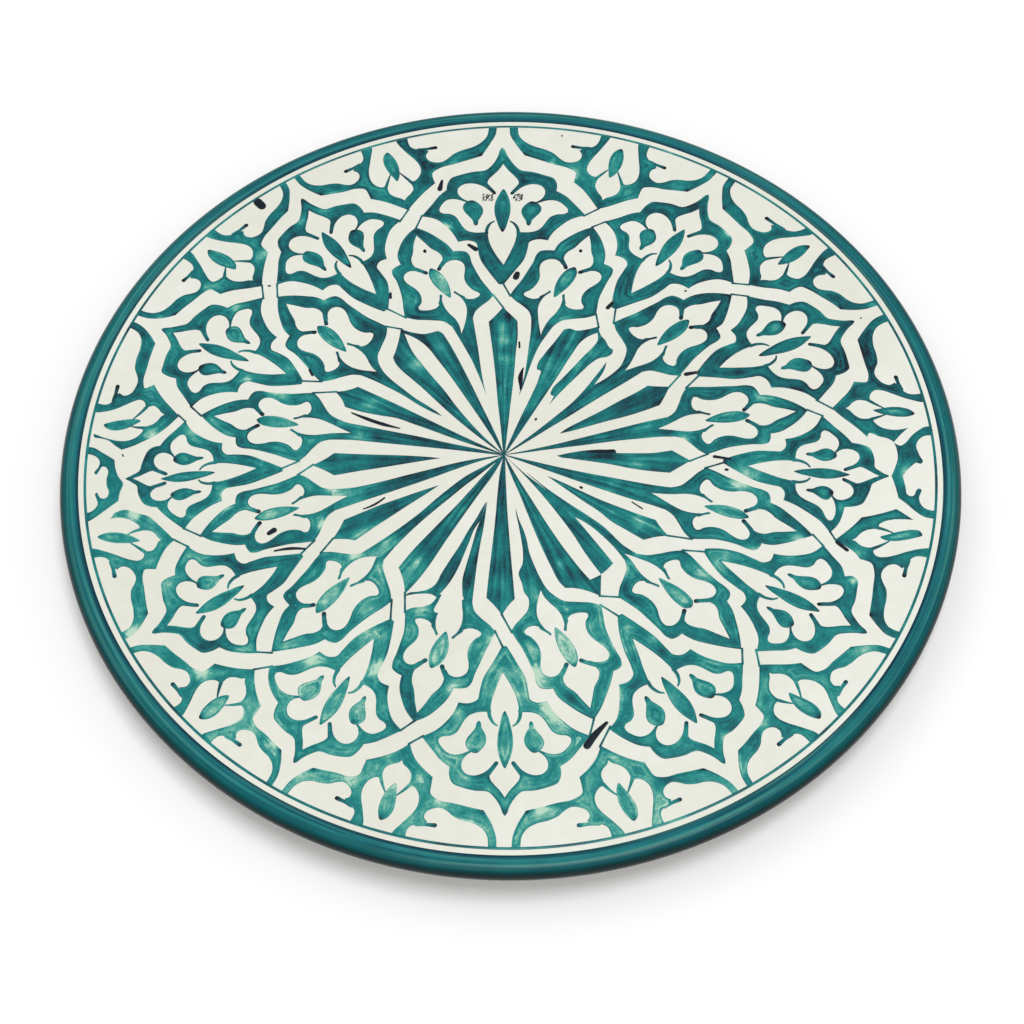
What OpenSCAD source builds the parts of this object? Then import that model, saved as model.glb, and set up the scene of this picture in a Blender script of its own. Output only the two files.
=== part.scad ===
// Hand painted serving plate: a shallow tin-glazed earthenware dish with a
// copper-green rim and a twelve-fold painted pattern of interlaced arches.
// Millimetres, +Z up, origin at the middle of the plane that the foot stands on.
// Each layer that the potter puts on is a solid of its own: thrown body, foot
// ring, glazes, and every family of painted strokes.

/* [Plate] */
// Outside diameter over the rim
plate_d = 400; // [360:5:440]
// Height from the foot's base to the top of the rim
plate_h = 22; // [20:1:28]
// Depth of the face's middle below the ring line
dish_depth = 6; // [4:0.5:8]
// Thickness of the wall with both glazes
wall_t = 8.8; // [8:0.2:10]

/* [Rim] */
// Diameter of the rounded rim
roll_d = 9; // [8:0.5:10]
// Width of the white ring between the ring line and the green rim
white_ring_w = 2.9; // [2:0.1:4]
// Width of the thin painted ring line
ring_line_w = 1.2; // [0.8:0.1:2]

/* [Foot] */
// Outside diameter of the foot ring where it meets the body
foot_d = 224; // [200:2:236]
// Width of the foot ring where it meets the body
foot_top_w = 13; // [11:0.5:15]
// Width of the flat that the plate stands on
foot_base_w = 7; // [5:0.5:8]

/* [Glaze and paint] */
// Thickness of the white and green glaze coats
glaze_t = 0.4; // [0.3:0.05:0.6]
// Thickness of the painted strokes that stand on the white glaze
paint_t = 0.15; // [0.1:0.05:0.3]

/* [Hidden] */
$fn = 96;

plate_r = plate_d / 2;
roll_r = roll_d / 2;
roll_centre_r = plate_r - roll_r;
roll_centre_z = plate_h - roll_r;

// The green rim starts where the face turns into the roll; the ring line lies inside it.
band_r = roll_centre_r - 4.2;
ring_r = band_r - white_ring_w;
ring_drop = 0.7;
ring_z = plate_h - ring_drop;
centre_z = ring_z - dish_depth;

// Where the rim glaze ends on the back, and the arc that it follows round the roll.
back_rim_r = plate_r - 8;
roll_top_angle = 97.5;
roll_bottom_angle = -97.5;
roll_steps = 26;

foot_r = foot_d / 2;
foot_inner_r = foot_r - foot_top_w;
foot_lean = (foot_top_w - foot_base_w) / 2;
foot_chamfer = 1;

ARCHES = 12;
ARCH_ANGLE = 360 / ARCHES;
// The pattern is drawn for a ring line of this radius, and scales with the plate.
drawn_ring_r = 188.4;
pattern_k = ring_r / drawn_ring_r;

// The face is a shallow parabola, taken as cones between these radii.
FACE_RADII = [for (part = [0, 0.2, 0.4, 0.62, 0.84, 1]) part * ring_r];
FACE_TABLE = [for (r = concat(FACE_RADII, [plate_r])) [r, centre_z + dish_depth * pow(r / ring_r, 2)]];
function face_z(r) = lookup(r, FACE_TABLE);
function radii_between(low, high) = [for (r = FACE_RADII) if (r > low && r < high) r];
function face_points(low, high, lift) =
    [for (r = concat([low], radii_between(low, high), [high])) [r, face_z(r) + lift]];
function backwards(list) = [for (i = [len(list) - 1 : -1 : 0]) list[i]];
function roll_arc(radius) =
    [for (i = [0 : roll_steps])
        let (a = roll_top_angle + (roll_bottom_angle - roll_top_angle) * i / roll_steps)
        [roll_centre_r + radius * cos(a), roll_centre_z + radius * sin(a)]];

// A coat on the face or the back: the band between two lifts of the face's profile.
module coat(low, high, bottom_lift, top_lift)
    rotate_extrude()
        polygon(concat(face_points(low, high, bottom_lift),
                       backwards(face_points(low, high, top_lift))));

// Painted strokes: a flat outline, once for each arch, laid on the face as a thin layer.
module painted()
    intersection() {
        coat(0, ring_r - ring_line_w / 2, 0, paint_t);
        for (i = [0 : ARCHES - 1])
            rotate([0, 0, i * ARCH_ANGLE])
                linear_extrude(plate_h + 1) scale(pattern_k) children();
    }

// A copy of an outline on each side of the arch's middle line.
module both_sides() {
    children();
    mirror([1, 0]) children();
}

// An almond: the lens between two equal arcs.
module almond(length, width) {
    bow_r = (length * length + width * width) / (4 * width);
    intersection() {
        translate([bow_r - width / 2, 0]) circle(bow_r);
        translate([width / 2 - bow_r, 0]) circle(bow_r);
    }
}

// A drop: round above, running out to a point below.
module drop(length, width) {
    translate([0, length / 2 - width / 2]) circle(width / 2);
    polygon([[-width / 2, length / 2 - width / 2], [0, -length / 2],
             [width / 2, length / 2 - width / 2]]);
}

module clay_body() color("#c9a27a")
    rotate_extrude()
        polygon(concat(face_points(0, band_r, -glaze_t),
                       roll_arc(roll_r - glaze_t),
                       backwards(face_points(0, back_rim_r, glaze_t - wall_t))));

module foot_ring() color("#c08e63")
    rotate_extrude()
        polygon([[foot_inner_r, face_z(foot_inner_r) + glaze_t - wall_t],
                 [foot_inner_r + foot_lean, foot_chamfer],
                 [foot_inner_r + foot_lean + foot_chamfer, 0],
                 [foot_r - foot_lean - foot_chamfer, 0],
                 [foot_r - foot_lean, foot_chamfer],
                 [foot_r, face_z(foot_r) + glaze_t - wall_t]]);

module face_glaze() color("#ecebe3") coat(0, band_r, -glaze_t, 0);

module rim_glaze() color("#0c6a70")
    rotate_extrude()
        polygon(concat([[band_r, face_z(band_r)]], roll_arc(roll_r),
                       [[back_rim_r, face_z(back_rim_r) - wall_t],
                        [back_rim_r, face_z(back_rim_r) + glaze_t - wall_t]],
                       backwards(roll_arc(roll_r - glaze_t)),
                       [[band_r, face_z(band_r) - glaze_t]]));

module back_glaze() color("#e6e2d6") coat(foot_r, back_rim_r, -wall_t, glaze_t - wall_t);

module well_glaze() color("#e6e2d6") coat(0, foot_inner_r, -wall_t, glaze_t - wall_t);

module ring_line() color("#1b7f7d")
    coat(ring_r - ring_line_w / 2, ring_r + ring_line_w / 2, 0, paint_t);

// The star's long kites, one under each arch, and the narrow wedges between them.
module star_kites() color("#0e7378")
    painted() polygon([[0, 4], [7.5, 58], [8, 72], [0, 80], [-8, 72], [-7.5, 58]]);

module star_wedges() color("#0e7378")
    painted() rotate(ARCH_ANGLE / 2) polygon([[0, 6], [5.5, 48], [0, 70], [-5.5, 48]]);

// The green ground inside each arch, with the white palmette left open in it.
module arch_grounds() color("#2a8f8c")
    painted() difference() {
        polygon([[0, 175], [-7, 164], [-19, 162], [-23, 152], [-34, 139], [-18, 123],
                 [-10, 121], [0, 98], [10, 121], [18, 123], [34, 139], [23, 152],
                 [19, 162], [7, 164]]);
        palmette();
    }

module palmette() {
    polygon([[0, 166], [-6, 157], [-3, 151], [-4, 147], [4, 147], [3, 151], [6, 157]]);
    both_sides() translate([11, 151]) circle(6.3);
    both_sides() translate([19, 139.5]) circle(7.8);
    both_sides() translate([11, 133]) circle(5.5);
    square_from(-14, 131, 14, 150);
    translate([0, 122]) drop(24, 12);
}

module square_from(x0, y0, x1, y1)
    translate([x0, y0]) square([x1 - x0, y1 - y0]);

module palmette_almonds() color("#12737a")
    painted() translate([0, 140.5]) almond(27, 6.4);

module palmette_drops() color("#12737a")
    painted() both_sides() translate([12, 139]) rotate(8) drop(14, 7);

// The ground of the smaller buds that stand between the star's wedges and the arches.
module inner_grounds() color("#2a8f8c")
    painted() rotate(ARCH_ANGLE / 2) difference() {
        polygon([[0, 131], [-9, 117], [-15, 108], [-12, 88], [0, 74], [12, 88], [15, 108],
                 [9, 117]]);
        bud();
    }

module bud() {
    translate([0, 114]) rotate(180) drop(18, 9);
    both_sides() translate([6, 103]) circle(5.6);
    both_sides() translate([4.5, 93]) circle(3.6);
    square_from(-6, 93, 6, 108);
    translate([0, 86]) drop(16, 8);
}

module bud_almonds() color("#5fae9d")
    painted() rotate(ARCH_ANGLE / 2) translate([0, 99]) almond(20, 5);

// Along the border: two bent strokes from the ring line to each arch's shoulders.
module border_strokes() color("#2f9492")
    painted() both_sides() polygon([[3, 186], [7, 186], [9, 179], [20, 175], [28, 169],
                                    [33, 171], [40, 182], [44, 181], [37, 166], [38, 156],
                                    [31, 157], [29, 166], [9, 172]]);

module border_almonds() color("#2f9492")
    painted() rotate(ARCH_ANGLE / 2) translate([0, 172]) almond(18, 6);

clay_body();
foot_ring();
face_glaze();
rim_glaze();
back_glaze();
well_glaze();
ring_line();
star_kites();
star_wedges();
arch_grounds();
inner_grounds();
palmette_almonds();
palmette_drops();
bud_almonds();
border_strokes();
border_almonds();
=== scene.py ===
"""Looks of the hand painted serving plate: glazes, green brushwork, light and camera.

Plan sizes are in millimetres until a mesh is made. The painted pattern has twelve arches, so a
place on it is given by an hour on a clock face, with hour 0 at the far side of the plate, and by
two numbers in that hour's own frame: u to its right and v out from the pattern's middle.
"""

import math

import bpy
import numpy as np
from mathutils import Matrix, Vector, geometry, kdtree


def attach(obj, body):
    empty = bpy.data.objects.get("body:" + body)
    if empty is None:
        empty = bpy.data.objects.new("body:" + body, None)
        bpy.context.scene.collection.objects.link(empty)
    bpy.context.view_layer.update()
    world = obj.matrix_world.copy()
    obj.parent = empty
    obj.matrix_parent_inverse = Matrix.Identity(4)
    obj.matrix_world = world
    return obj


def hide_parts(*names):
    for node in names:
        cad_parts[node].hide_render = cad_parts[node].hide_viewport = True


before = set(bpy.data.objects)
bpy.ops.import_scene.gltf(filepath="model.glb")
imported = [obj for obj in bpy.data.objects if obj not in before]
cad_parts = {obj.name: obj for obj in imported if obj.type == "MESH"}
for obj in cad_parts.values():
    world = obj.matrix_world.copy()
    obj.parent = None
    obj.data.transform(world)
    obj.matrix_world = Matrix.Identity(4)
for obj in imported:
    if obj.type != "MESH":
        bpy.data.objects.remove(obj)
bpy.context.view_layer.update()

MM = 0.001
HOURS = 12
HOUR_ANGLE = 30
SHARP = 1

# The plate, as in the CAD source.
RING_R = 188.4
RING_Z = 21.3
DISH_DEPTH = 6.0
CENTRE_Z = RING_Z - DISH_DEPTH
BAND_R = 191.3
WALL_T = 8.8
ROLL_R = 4.5
ROLL_CENTRE_R = 195.5
ROLL_CENTRE_Z = 17.5
RING_LINE_W = 1.2
FOOT_R = 112.0
FOOT_INNER_R = 99.0
# The painter's middle lies a little left of the plate's middle.
PATTERN_SHIFT = -2.9
PAINT_LIFT = 0.1
PAINT_R = RING_R - 0.3
# The border's fields run on to this radius, and are then cut off at the ring line.
BEYOND_RING_R = 198.0


# ---------------------------------------------------------------- outlines

def mirrored(half):
    """A closed outline from its right half, whose first and last points lie on the middle line."""
    right = list(half)
    left = [(-p[0],) + tuple(p[1:]) for p in reversed(right)]
    if abs(right[-1][0]) < 0.01:
        left = left[1:]
    if abs(right[0][0]) < 0.01:
        left = left[:-1]
    return right + left


ARCH_RIGHT = (
    (0, 174.5, SHARP), (0.8, 173.5), (1.8, 170.5), (4, 166.5), (6.5, 163.8), (12, 163), (17, 161.5),
    (21, 159.5), (22.3, 156.5), (22.2, 152.5, SHARP), (26, 149.5), (30, 144.5), (34, 138.8, SHARP),
    (28, 135.5), (24, 131.5), (20.5, 126.5), (18.8, 122.8, SHARP), (13.5, 123), (10.8, 121.5),
    (10, 118.5), (8.5, 112), (5, 104.5), (1, 96.5, SHARP))
PALMETTE_RIGHT = (
    (0, 166.2, SHARP), (2, 163), (4.3, 160.3), (5.9, 157.8), (6, 155.8), (4.8, 153.6),
    (3.6, 151.6, SHARP), (5, 152), (7, 154), (9.5, 155.6), (12.5, 156.3), (15.5, 155.5),
    (17.2, 153.3), (17.3, 150.5), (16, 147.8), (13.8, 145.9), (12, 145, SHARP), (14.5, 145.2),
    (17, 146.4), (20, 147), (23, 146.3), (25.5, 144), (27.1, 141.2), (27, 139.9), (25.6, 138.8),
    (22.5, 138.3), (20, 136.8), (18.3, 134), (16.8, 131), (14.8, 128.7), (12, 127.5), (9, 127.2),
    (7, 127.3, SHARP), (6.3, 129.5), (5, 132), (3, 134, SHARP))
ARCH_LEAF = (
    (0.8, 109, SHARP), (3.5, 117), (5.3, 123), (5.7, 128), (4.5, 131.5), (2.5, 134.5, SHARP),
    (-2.5, 134.5, SHARP), (-4.8, 131), (-5.8, 127), (-5.3, 122), (-2.5, 115))
LEAF_STROKE = ((6.4, 126.5), (6, 130), (4.8, 132.2), (3.3, 133.4))
LEAF_STROKE_W = (1.8, 1.4, 1.1, 0.8)
PETAL_TICK = ((7, 156.5), (5.5, 154), (4.2, 152), (3.4, 150.8))
PETAL_TICK_W = (1.6, 1.8, 1.9, 1.7)
PALMETTE_ALMOND = (
    (0, 153.3), (1.6, 150), (3, 144.5), (3.1, 139), (2.2, 133.5), (0.9, 128.5), (0, 126.9))
DROP = (
    (11.5, 146.2), (9.8, 144.8), (8, 142), (7.6, 139.5), (8.4, 136.5), (9.6, 134), (9.8, 132),
    (10.6, 131.1), (11.6, 132), (12, 134), (13.8, 136.8), (15.6, 139.5), (16.1, 142),
    (14.8, 144.7), (13.6, 145.8))

BORDER_HALF = (
    (3, 192, SHARP), (3.1, 187.6), (3.3, 184), (5, 178.5), (8.5, 171.8, SHARP), (14, 170.3),
    (20, 168.3), (26, 166.3), (28.8, 163.8), (29, 160), (28.9, 157, SHARP), (32, 153.5),
    (36, 147.5))
BORDER_LEAF = (
    (6.6, 192, SHARP), (6.6, 187), (7, 183.5), (9, 180), (12.5, 177.7), (17, 176.3), (20.5, 174.3),
    (23, 171.5), (25, 170), (28, 170), (30.2, 171.3), (31.2, 174), (30.2, 176.5, SHARP),
    (31.5, 177.6), (34.5, 178), (36.8, 179.5), (37.6, 181.5), (38, 184), (38.4, 188, SHARP),
    (29, 192), (18, 193))
BORDER_TICK = ((34, 177.3), (31, 178), (27.6, 178.7))
BORDER_TICK_W = (2.6, 1.5, 1.9)
TULIP_RIGHT = (
    (0, 193, SHARP), (6, 192, SHARP), (5.8, 187), (7.2, 183), (8.8, 179), (10.3, 175.5),
    (11.3, 171.5), (11.2, 168.5), (10, 166.2), (7.8, 164.8), (5.6, 165.4, SHARP), (5.8, 162.5),
    (5, 159.5), (3, 157), (0.8, 155.2), (0, 153.8, SHARP))
TULIP_STROKE = ((6.6, 164), (4.6, 167.3), (2.4, 170))
TULIP_STROKE_W = (1.7, 1.2, 0.6)
TULIP_ALMOND = (
    (0.6, 182.8), (2.2, 180), (3, 176), (2.8, 171.5), (1, 167), (-0.6, 165.3), (-2, 168.5),
    (-2.9, 173), (-2.8, 177.5), (-1.4, 181.2))

INNER_RIGHT = (
    (0, 136.5, SHARP), (3.5, 132.5), (7, 127.5), (9.8, 122.5), (11.3, 118, SHARP), (14, 117.3),
    (16.2, 116), (17, 114), (17, 109), (17.3, 103), (17.8, 97), (19, 91), (19.7, 87, SHARP),
    (17, 84.5), (12, 81.5), (8.5, 79), (6.5, 75.5, SHARP), (5.8, 74.6, SHARP))
BUD_RIGHT = (
    (0, 131.2, SHARP), (1.8, 127), (3.6, 122.5), (5.7, 119.3), (6.5, 116.5), (6, 113.8),
    (4.3, 111), (3.2, 108.8, SHARP), (5.2, 109.4), (7, 111.4), (9.3, 112.3), (11.7, 111.7),
    (13.4, 109.6), (13.6, 107), (12.7, 103.8), (11.2, 100.3), (10.6, 97), (11, 94), (12.3, 91.3),
    (13.8, 89.8), (14, 88.6), (12.8, 87.6), (10.3, 86.8), (8, 87), (6.2, 88.2, SHARP), (5, 90.5),
    (3.6, 93, SHARP))
BUD_LEAF_RIGHT = (
    (0, 68, SHARP), (1.3, 72.5), (3.3, 78), (4.8, 82.5), (5, 86), (4.3, 89.5), (3, 93, SHARP))
BUD_ALMOND = ((0, 111.3), (1.7, 108), (3, 102.5), (3, 98.5), (1.8, 93.5), (0, 90))
BUD_TICK = ((6.2, 113), (4.5, 110.5), (3, 108))
BUD_TICK_W = (1.5, 1.8, 2)
BUD_STROKE = ((5.8, 88.5), (4.4, 90.5), (3.1, 92.3))
BUD_STROKE_W = (1.5, 1.1, 0.8)

# ------------------------------------------------- where the painter's marks really are
# Each row is an hour; the points are in that hour's frame and stand for the drawn points above.

ARCH_MARKS = (
    (0, 174.5), (0, 166.2), (0, 153.3), (0, 126.9), (0.8, 109), (0.9, 96.5), (-34, 138.8),
    (34, 138.8), (-22.2, 152.5), (22.2, 152.5), (-18.8, 122.8), (18.8, 122.8), (-27.1, 140.5),
    (27.1, 140.5), (-10.6, 131.1), (10.6, 131.1))
ARCHES_SEEN = (
    ((-0.5, 176), (0, 165.6), (0.2, 150.5), (-0.4, 124.8), (0, 105.7), (0, 94.4), (-39.4, 134),
     (39.3, 134.3), (-27.9, 149.8), (25.8, 149), (-21.5, 119), (21, 119.8), (-30.7, 137.6),
     (31.2, 137), (-13.2, 128.7), (12, 128.5)),
    ((13.2, 175.7), (13.2, 165.6), (12.7, 151.5), (10.5, 126), (7.7, 106.7), (5.6, 95.1),
     (-23, 137), (47.3, 134.6), (-11.1, 150.4), (36, 149.8), (-9.3, 122.4), (30, 122.1),
     (-15.2, 138.6), (39.2, 138.2), (-0.5, 130.8), (21.9, 129.5)),
    ((21.3, 175.7), (20.2, 168.3), (17.7, 153.7), (13.9, 127.3), (9.8, 108.5), (8.8, 97.7),
     (-17, 141.4), (48.4, 136.2), (-2.5, 155.5), (41.8, 151), (-4.6, 124.2), (31.4, 122.6),
     (-9.6, 142.4), (42.7, 138.8), (4, 132.6), (25.1, 132)),
    ((15, 170), (14.8, 166.2), (13.7, 153.1), (11, 128.5), (7.6, 108.5), (5.6, 97.7),
     (-18.2, 143.3), (43, 142), (-3.3, 155.5), (30.2, 149), (-6, 126.1), (25.6, 122.7),
     (-9.9, 144.2), (37, 142.4), (2, 134.6), (20.8, 133.2)),
    ((4, 179), (4, 171.5), (4, 156.9), (3.6, 131), (1.7, 109), (1, 100.7), (-26.3, 144.2),
     (34, 141.8), (-16.4, 159.3), (24.9, 155.7), (-12.3, 127.5), (17.7, 126.5), (-19.8, 146.9),
     (27.5, 144.8), (-6.3, 137), (12.7, 136.2)),
    ((-1.3, 176.7), (-1.5, 168.6), (-1.7, 155.2), (-0.8, 129.5), (-0.2, 107.9), (-0.7, 95.4),
     (-33.5, 141.4), (30.2, 138.6), (-22.7, 155.2), (20.7, 154.5), (-18.3, 124.9), (16.5, 123.6),
     (-27.1, 143), (25.1, 142.4), (-11.7, 134.4), (9.8, 133.7)),
    ((0, 174.3), (0, 166.2), (0, 153.3), (0, 126.9), (0.8, 109), (0.9, 96.5), (-34.9, 138.8),
     (33.9, 138.8), (-22.6, 152.5), (22.5, 152.5), (-17.4, 122.5), (19, 123.1), (-27.3, 140.3),
     (27.1, 140.3), (-10.9, 131.9), (10.6, 131.6)),
    ((-1.3, 173.7), (-1, 166.8), (-1, 153.7), (0.6, 128.3), (1.4, 107.9), (0.2, 96.5),
     (-31.1, 138.8), (31.4, 141.2), (-21.4, 151.9), (19.3, 153.7), (-15.8, 123.9), (17.7, 124.8),
     (-25, 141), (28.2, 143), (-10.1, 132.9), (10.1, 133.5)),
    ((-4.9, 174.5), (-4.6, 167.4), (-5.1, 154.3), (-2.7, 130.2), (-1.3, 113.8), (-0.4, 101.9),
     (-34.4, 140), (26.7, 143.2), (-24.8, 152.5), (16.2, 153.7), (-18, 123.7), (13.9, 126.9),
     (-28.9, 142.1), (19.9, 144.8), (-13.2, 134.6), (6.2, 135.5)),
    ((-14.6, 167.1), (-14.4, 164.4), (-14.3, 151.7), (-10.2, 128.1), (-7.7, 110.2), (-7.5, 98.6),
     (-39.6, 139.4), (16.7, 143.8), (-28.9, 152.5), (3.2, 153.7), (-24.8, 123.9), (5, 126),
     (-34, 141), (9.2, 144.2), (-20.4, 133.5), (-2.7, 133.8)),
    ((-21.5, 170.4), (-20.4, 165), (-19.2, 151.3), (-15.2, 126.3), (-12.3, 107.9), (-11.8, 99.3),
     (-49.8, 134.3), (18, 140.4), (-40.6, 148.9), (4.6, 151.3), (-32.3, 121.3), (2.3, 122.4),
     (-42.6, 137.9), (9.2, 141.8), (-26.1, 131.4), (-6.9, 131.3)),
    ((-12.5, 173.6), (-12.6, 165.6), (-13.1, 151), (-10.7, 125.7), (-7.5, 106.7), (-6.9, 96.5),
     (-45.8, 133.9), (22.9, 138.6), (-35.5, 150.1), (10, 151.3), (-28.3, 120.7), (6.2, 122.1),
     (-38.5, 137.9), (15.4, 141.8), (-21.8, 130.1), (-0.7, 130.8)))

# The border's corners beside each arch: two lower corners, two starts on the ring line, two inner
# corners and the ends of two ticks. None: the painter made something else there.
BORDER_MARKS = (
    (-8.5, 171.8), (8.5, 171.8), (-3, 187.6), (3, 187.6), (-28.9, 157), (28.9, 157),
    (-27.2, 178.8), (27.2, 178.8))
BORDERS_SEEN = (
    ((-10.5, 170.4), (10.6, 170.7), (-3, 186.4), (3, 186.4), (-32.6, 154.3), (34, 154.5),
     (-32.6, 175.7), (33.6, 176)),
    ((3.5, 172.1), (23.2, 171), (10.5, 187), (17, 187), (-15.2, 157.6), (43, 154.3),
     (-12.3, 179.6), (43.3, 176.1)),
    ((12.4, 173.9), (30.6, 170.6), (19.5, 187.6), (24.9, 187), (-8.1, 159.6), (48.3, 156.4),
     (-4.3, 182), (56.4, 173.5)),
    (None, None, None, None, (-5.9, 162.6), (35.8, 156.1), None, None),
    ((-4, 176), (13.6, 175.5), (1.4, 188.2), (6.4, 188.6), (-27.8, 161.1), (29.9, 160.8),
     (-28.3, 181.4), (29, 180.7)),
    ((-9.3, 174.2), (7.3, 173.6), (-3.3, 188.2), (0.7, 188.2), (-26.3, 161), (26.1, 159.3),
     (-24.5, 180.7), (22.5, 180.5)),
    ((-8.5, 172), (8.5, 171.8), (-2.5, 187.4), (3.2, 187.4), (-30, 157.4), (29, 157),
     (-29, 178.6), (27.5, 178.3)),
    ((-9.3, 171.3), (6.2, 171.2), (-3.9, 185.2), (0.6, 185.2), (-25.6, 157.5), (24.6, 158.8),
     (-24.4, 177.9), (21.7, 177.9)),
    ((-13, 172.1), (4.6, 171.8), (-6.7, 184.6), (-2.5, 184.6), (-30.5, 157.9), (22.5, 160.2),
     (-30.8, 177.1), (27.5, 176.9)),
    (None, None, None, None, (-34.1, 153.9), (7.6, 157.1), None, None),
    ((-29.5, 168.3), (-11.4, 169.5), (-24.3, 182.9), (-21, 182.3), (-48.2, 156.5), (8.8, 158.8),
     (-57.6, 169.3), (6.2, 177.7)),
    ((-21.5, 170), (-3.3, 170.4), (-14.4, 184.3), (-9.9, 184.3), (-40.5, 153.1), (16.3, 157.3),
     (-42.3, 172.1), (13.3, 177.5)))

# Each tulip: almond's top and foot, its own foot, widest points, petal feet, corners at the ring
# line, outer ends of its strokes there, and the tip where the bands cross.
TULIP_MARKS = (
    (0.6, 182.8), (-0.6, 165.3), (0, 153.8), (-11.3, 170.3), (11.3, 170.3), (-8.2, 164.8),
    (8.2, 164.8), (-5.8, 186.6), (5.8, 186.6), (-10.8, 187), (10.8, 187), (0, 147.8))
TULIPS_SEEN = {
    0: (0.5, ((11.1, 183.1), (9.5, 164.9), (9.3, 150.6), (-2.6, 168.2), (22.7, 167.6),
              (1.9, 163.4), (17.6, 162.2), (3.7, 187.5), (18.6, 187), (-0.2, 187.5), (23.9, 187),
              (8.3, 145))),
    1: (2, ((-25.5, 182.6), (-24.3, 164), (-21, 151.9), (-37.3, 167.4), (-12, 168.6),
            (-31.7, 161), (-17, 164.4), (-30.5, 186.4), (-19.5, 187.6), (-34.6, 185.8),
            (-14.8, 187.9), (-22.1, 145.6))),
    2: (3, ((-17.4, 184.9), (-19.9, 166.5), (-21.8, 154.3), (-31.1, 169.8), (-9.4, 174.5),
            (-26.5, 165.6), (-14.5, 166), (-23.6, 188.2), (-12, 188), (-27.7, 187), None,
            (-21.8, 148.3))),
    3: (3.5, ((-3, 187), (2.5, 169.6), (6.4, 158.1), (-8.3, 176), (12.1, 171.8), (-3.7, 167.6),
              (10.2, 167.6), None, (3.6, 190), None, (7.9, 190), (7.9, 150.9))),
    4: (4.5, ((2, 185.5), (2, 168.4), (0.2, 156.3), (-10.1, 175.3), (13.7, 171.8), (-5.7, 167.6),
              (8.9, 167.6), (-4.4, 188.4), (8.3, 187.8), (-8.1, 188.4), (12.9, 187.5),
              (0.2, 150.9))),
    5: (5.5, ((-4.2, 184.3), (-2.6, 166.4), (-2, 155.9), (-14.8, 172.4), (8.5, 172.4),
              (-11, 166.8), (4.2, 166.2), (-10.4, 187.5), (1.3, 187.5), (-15.1, 187.5),
              (6.3, 187.5), (-0.8, 148.5))),
    6: (6.5, ((2.5, 182.8), (1.3, 165.6), (1.7, 155.5), (-10, 172.4), (13.3, 171.8),
              (-6.4, 165.2), (9.4, 164.9), (-3.7, 186.3), (8.6, 186), (-9, 186.3), (13.6, 184.9),
              (0.7, 147))),
    7: (7.5, ((-4, 181.5), (-4.2, 165.8), (-2.9, 155.7), (-15.8, 170.6), (7.7, 170.6),
              (-12.7, 165.2), (3.8, 164.6), (-10.5, 184.6), (1.8, 185.2), (-15.5, 184.3),
              (7.1, 185.2), (-2.6, 150.1))),
    8: (8.5, ((2.4, 181.9), (-3.8, 164.6), (-5, 155.7), (-13, 168.2), (9.9, 170.6),
              (-11, 163.7), (3.3, 163.4), (-2.9, 184.6), None, (-7.6, 184.3), None,
              (-6.8, 150.1))),
    9: (9, ((13.3, 179.6), (16.3, 163.6), (19.9, 153.1), (5.6, 167.4), (27, 166.2),
            (11.2, 161.8), (24.3, 161.6), None, (20.1, 183.7), None, (24.8, 183.1),
            (19.3, 146.5))),
    10: (10.5, ((-19.8, 178.7), (-17.4, 161.3), (-16, 150.9), (-30.4, 163.9), (-4, 167),
                (-26.1, 162.8), (-8.2, 160.8), (-26.3, 181.9), (-14.6, 183.9), (-30.8, 181.1),
                (-9.6, 184.3), (-15, 145.6))),
    11: (11.5, ((-10.5, 181.3), (-9.4, 163.4), (-8.9, 150.9), (-22, 167.6), (3.3, 168.2),
                (-17.5, 161), (-2.1, 160.8), (-17, 184.6), (-4.2, 185.5), (-22.4, 184.3),
                (1, 185.8), (-8.7, 145)))}

# Each bud's field: its tip, the bud's top, the almond's top, the ends of two ticks, two shoulders.
BUD_MARKS = (
    (0, 136.5), (0, 131.2), (0, 111.3), (-3, 108), (3, 108), (-11.3, 118), (11.3, 118))
BUDS_SEEN = {
    0: (1, ((-26.5, 132), (-25.6, 126.5), (-22.6, 106.7), (-26.5, 104.9), (-19, 105.7),
            (-35.7, 110.8), (-11.7, 115.2))),
    1: (2, ((-21.3, 136.4), (-21.3, 129.5), (-20, 110.8), (-22.7, 108.7), (-15.6, 109.6),
            (-30.5, 115), (-9.6, 119.5))),
    2: (3, ((-21.2, 137.6), (-20.8, 132), (-19.6, 110.8), (-22.4, 109), (-16.4, 110),
            (-30.1, 116.4), (-9.3, 119.8))),
    3: (4, ((-28.9, 138.8), (-27.5, 131.1), (-23.9, 109.6), (-26.3, 107.5), (-21.2, 109),
            (-35.2, 115.2), (-14.8, 120.7))),
    4: (4, ((36.4, 136.4), (34, 129.3), (27.9, 107.9), (24.6, 109), (31.4, 106.9),
            (18.3, 120.4), (41.5, 110.5))),
    5: (5, ((34, 132.3), (32.3, 126.9), (27.9, 107), (23.9, 106), (30.2, 104.5), (14.5, 117),
            (40.7, 111.4))),
    6: (7, ((-33.5, 132.9), (-32.7, 128.9), (-26.5, 107.9), (-30.7, 105.1), (-22.6, 106),
            (-39.6, 111.4), (-18.2, 117.1))),
    7: (7, ((35.1, 135.8), (33.6, 128.5), (28.8, 109.6), (26.1, 108.7), (32.4, 107.3),
            (19, 118.8), (40.7, 112.6))),
    8: (8, ((29, 136.2), (28.2, 130.7), (25.1, 111.4), (22.3, 110.8), (27.9, 108.5),
            (15.4, 121), (36.2, 115.6))),
    9: (9, ((19.9, 137), (19.6, 130.8), (17.9, 111.4), (14.9, 111.2), (21.1, 109.3),
            (8.6, 120.4), (28.8, 116.2))),
    10: (10, ((22.1, 135.2), (20.5, 129.3), (17.1, 109.6), (13.9, 109.6), (20.7, 107.3),
              (6.4, 118.3), (31.2, 115.6))),
    11: (11, ((27.6, 131.4), (25.2, 127.3), (21.7, 106.7), (18.7, 106), (25.2, 104.9),
              (11, 116), (36, 110.5)))}

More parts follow.
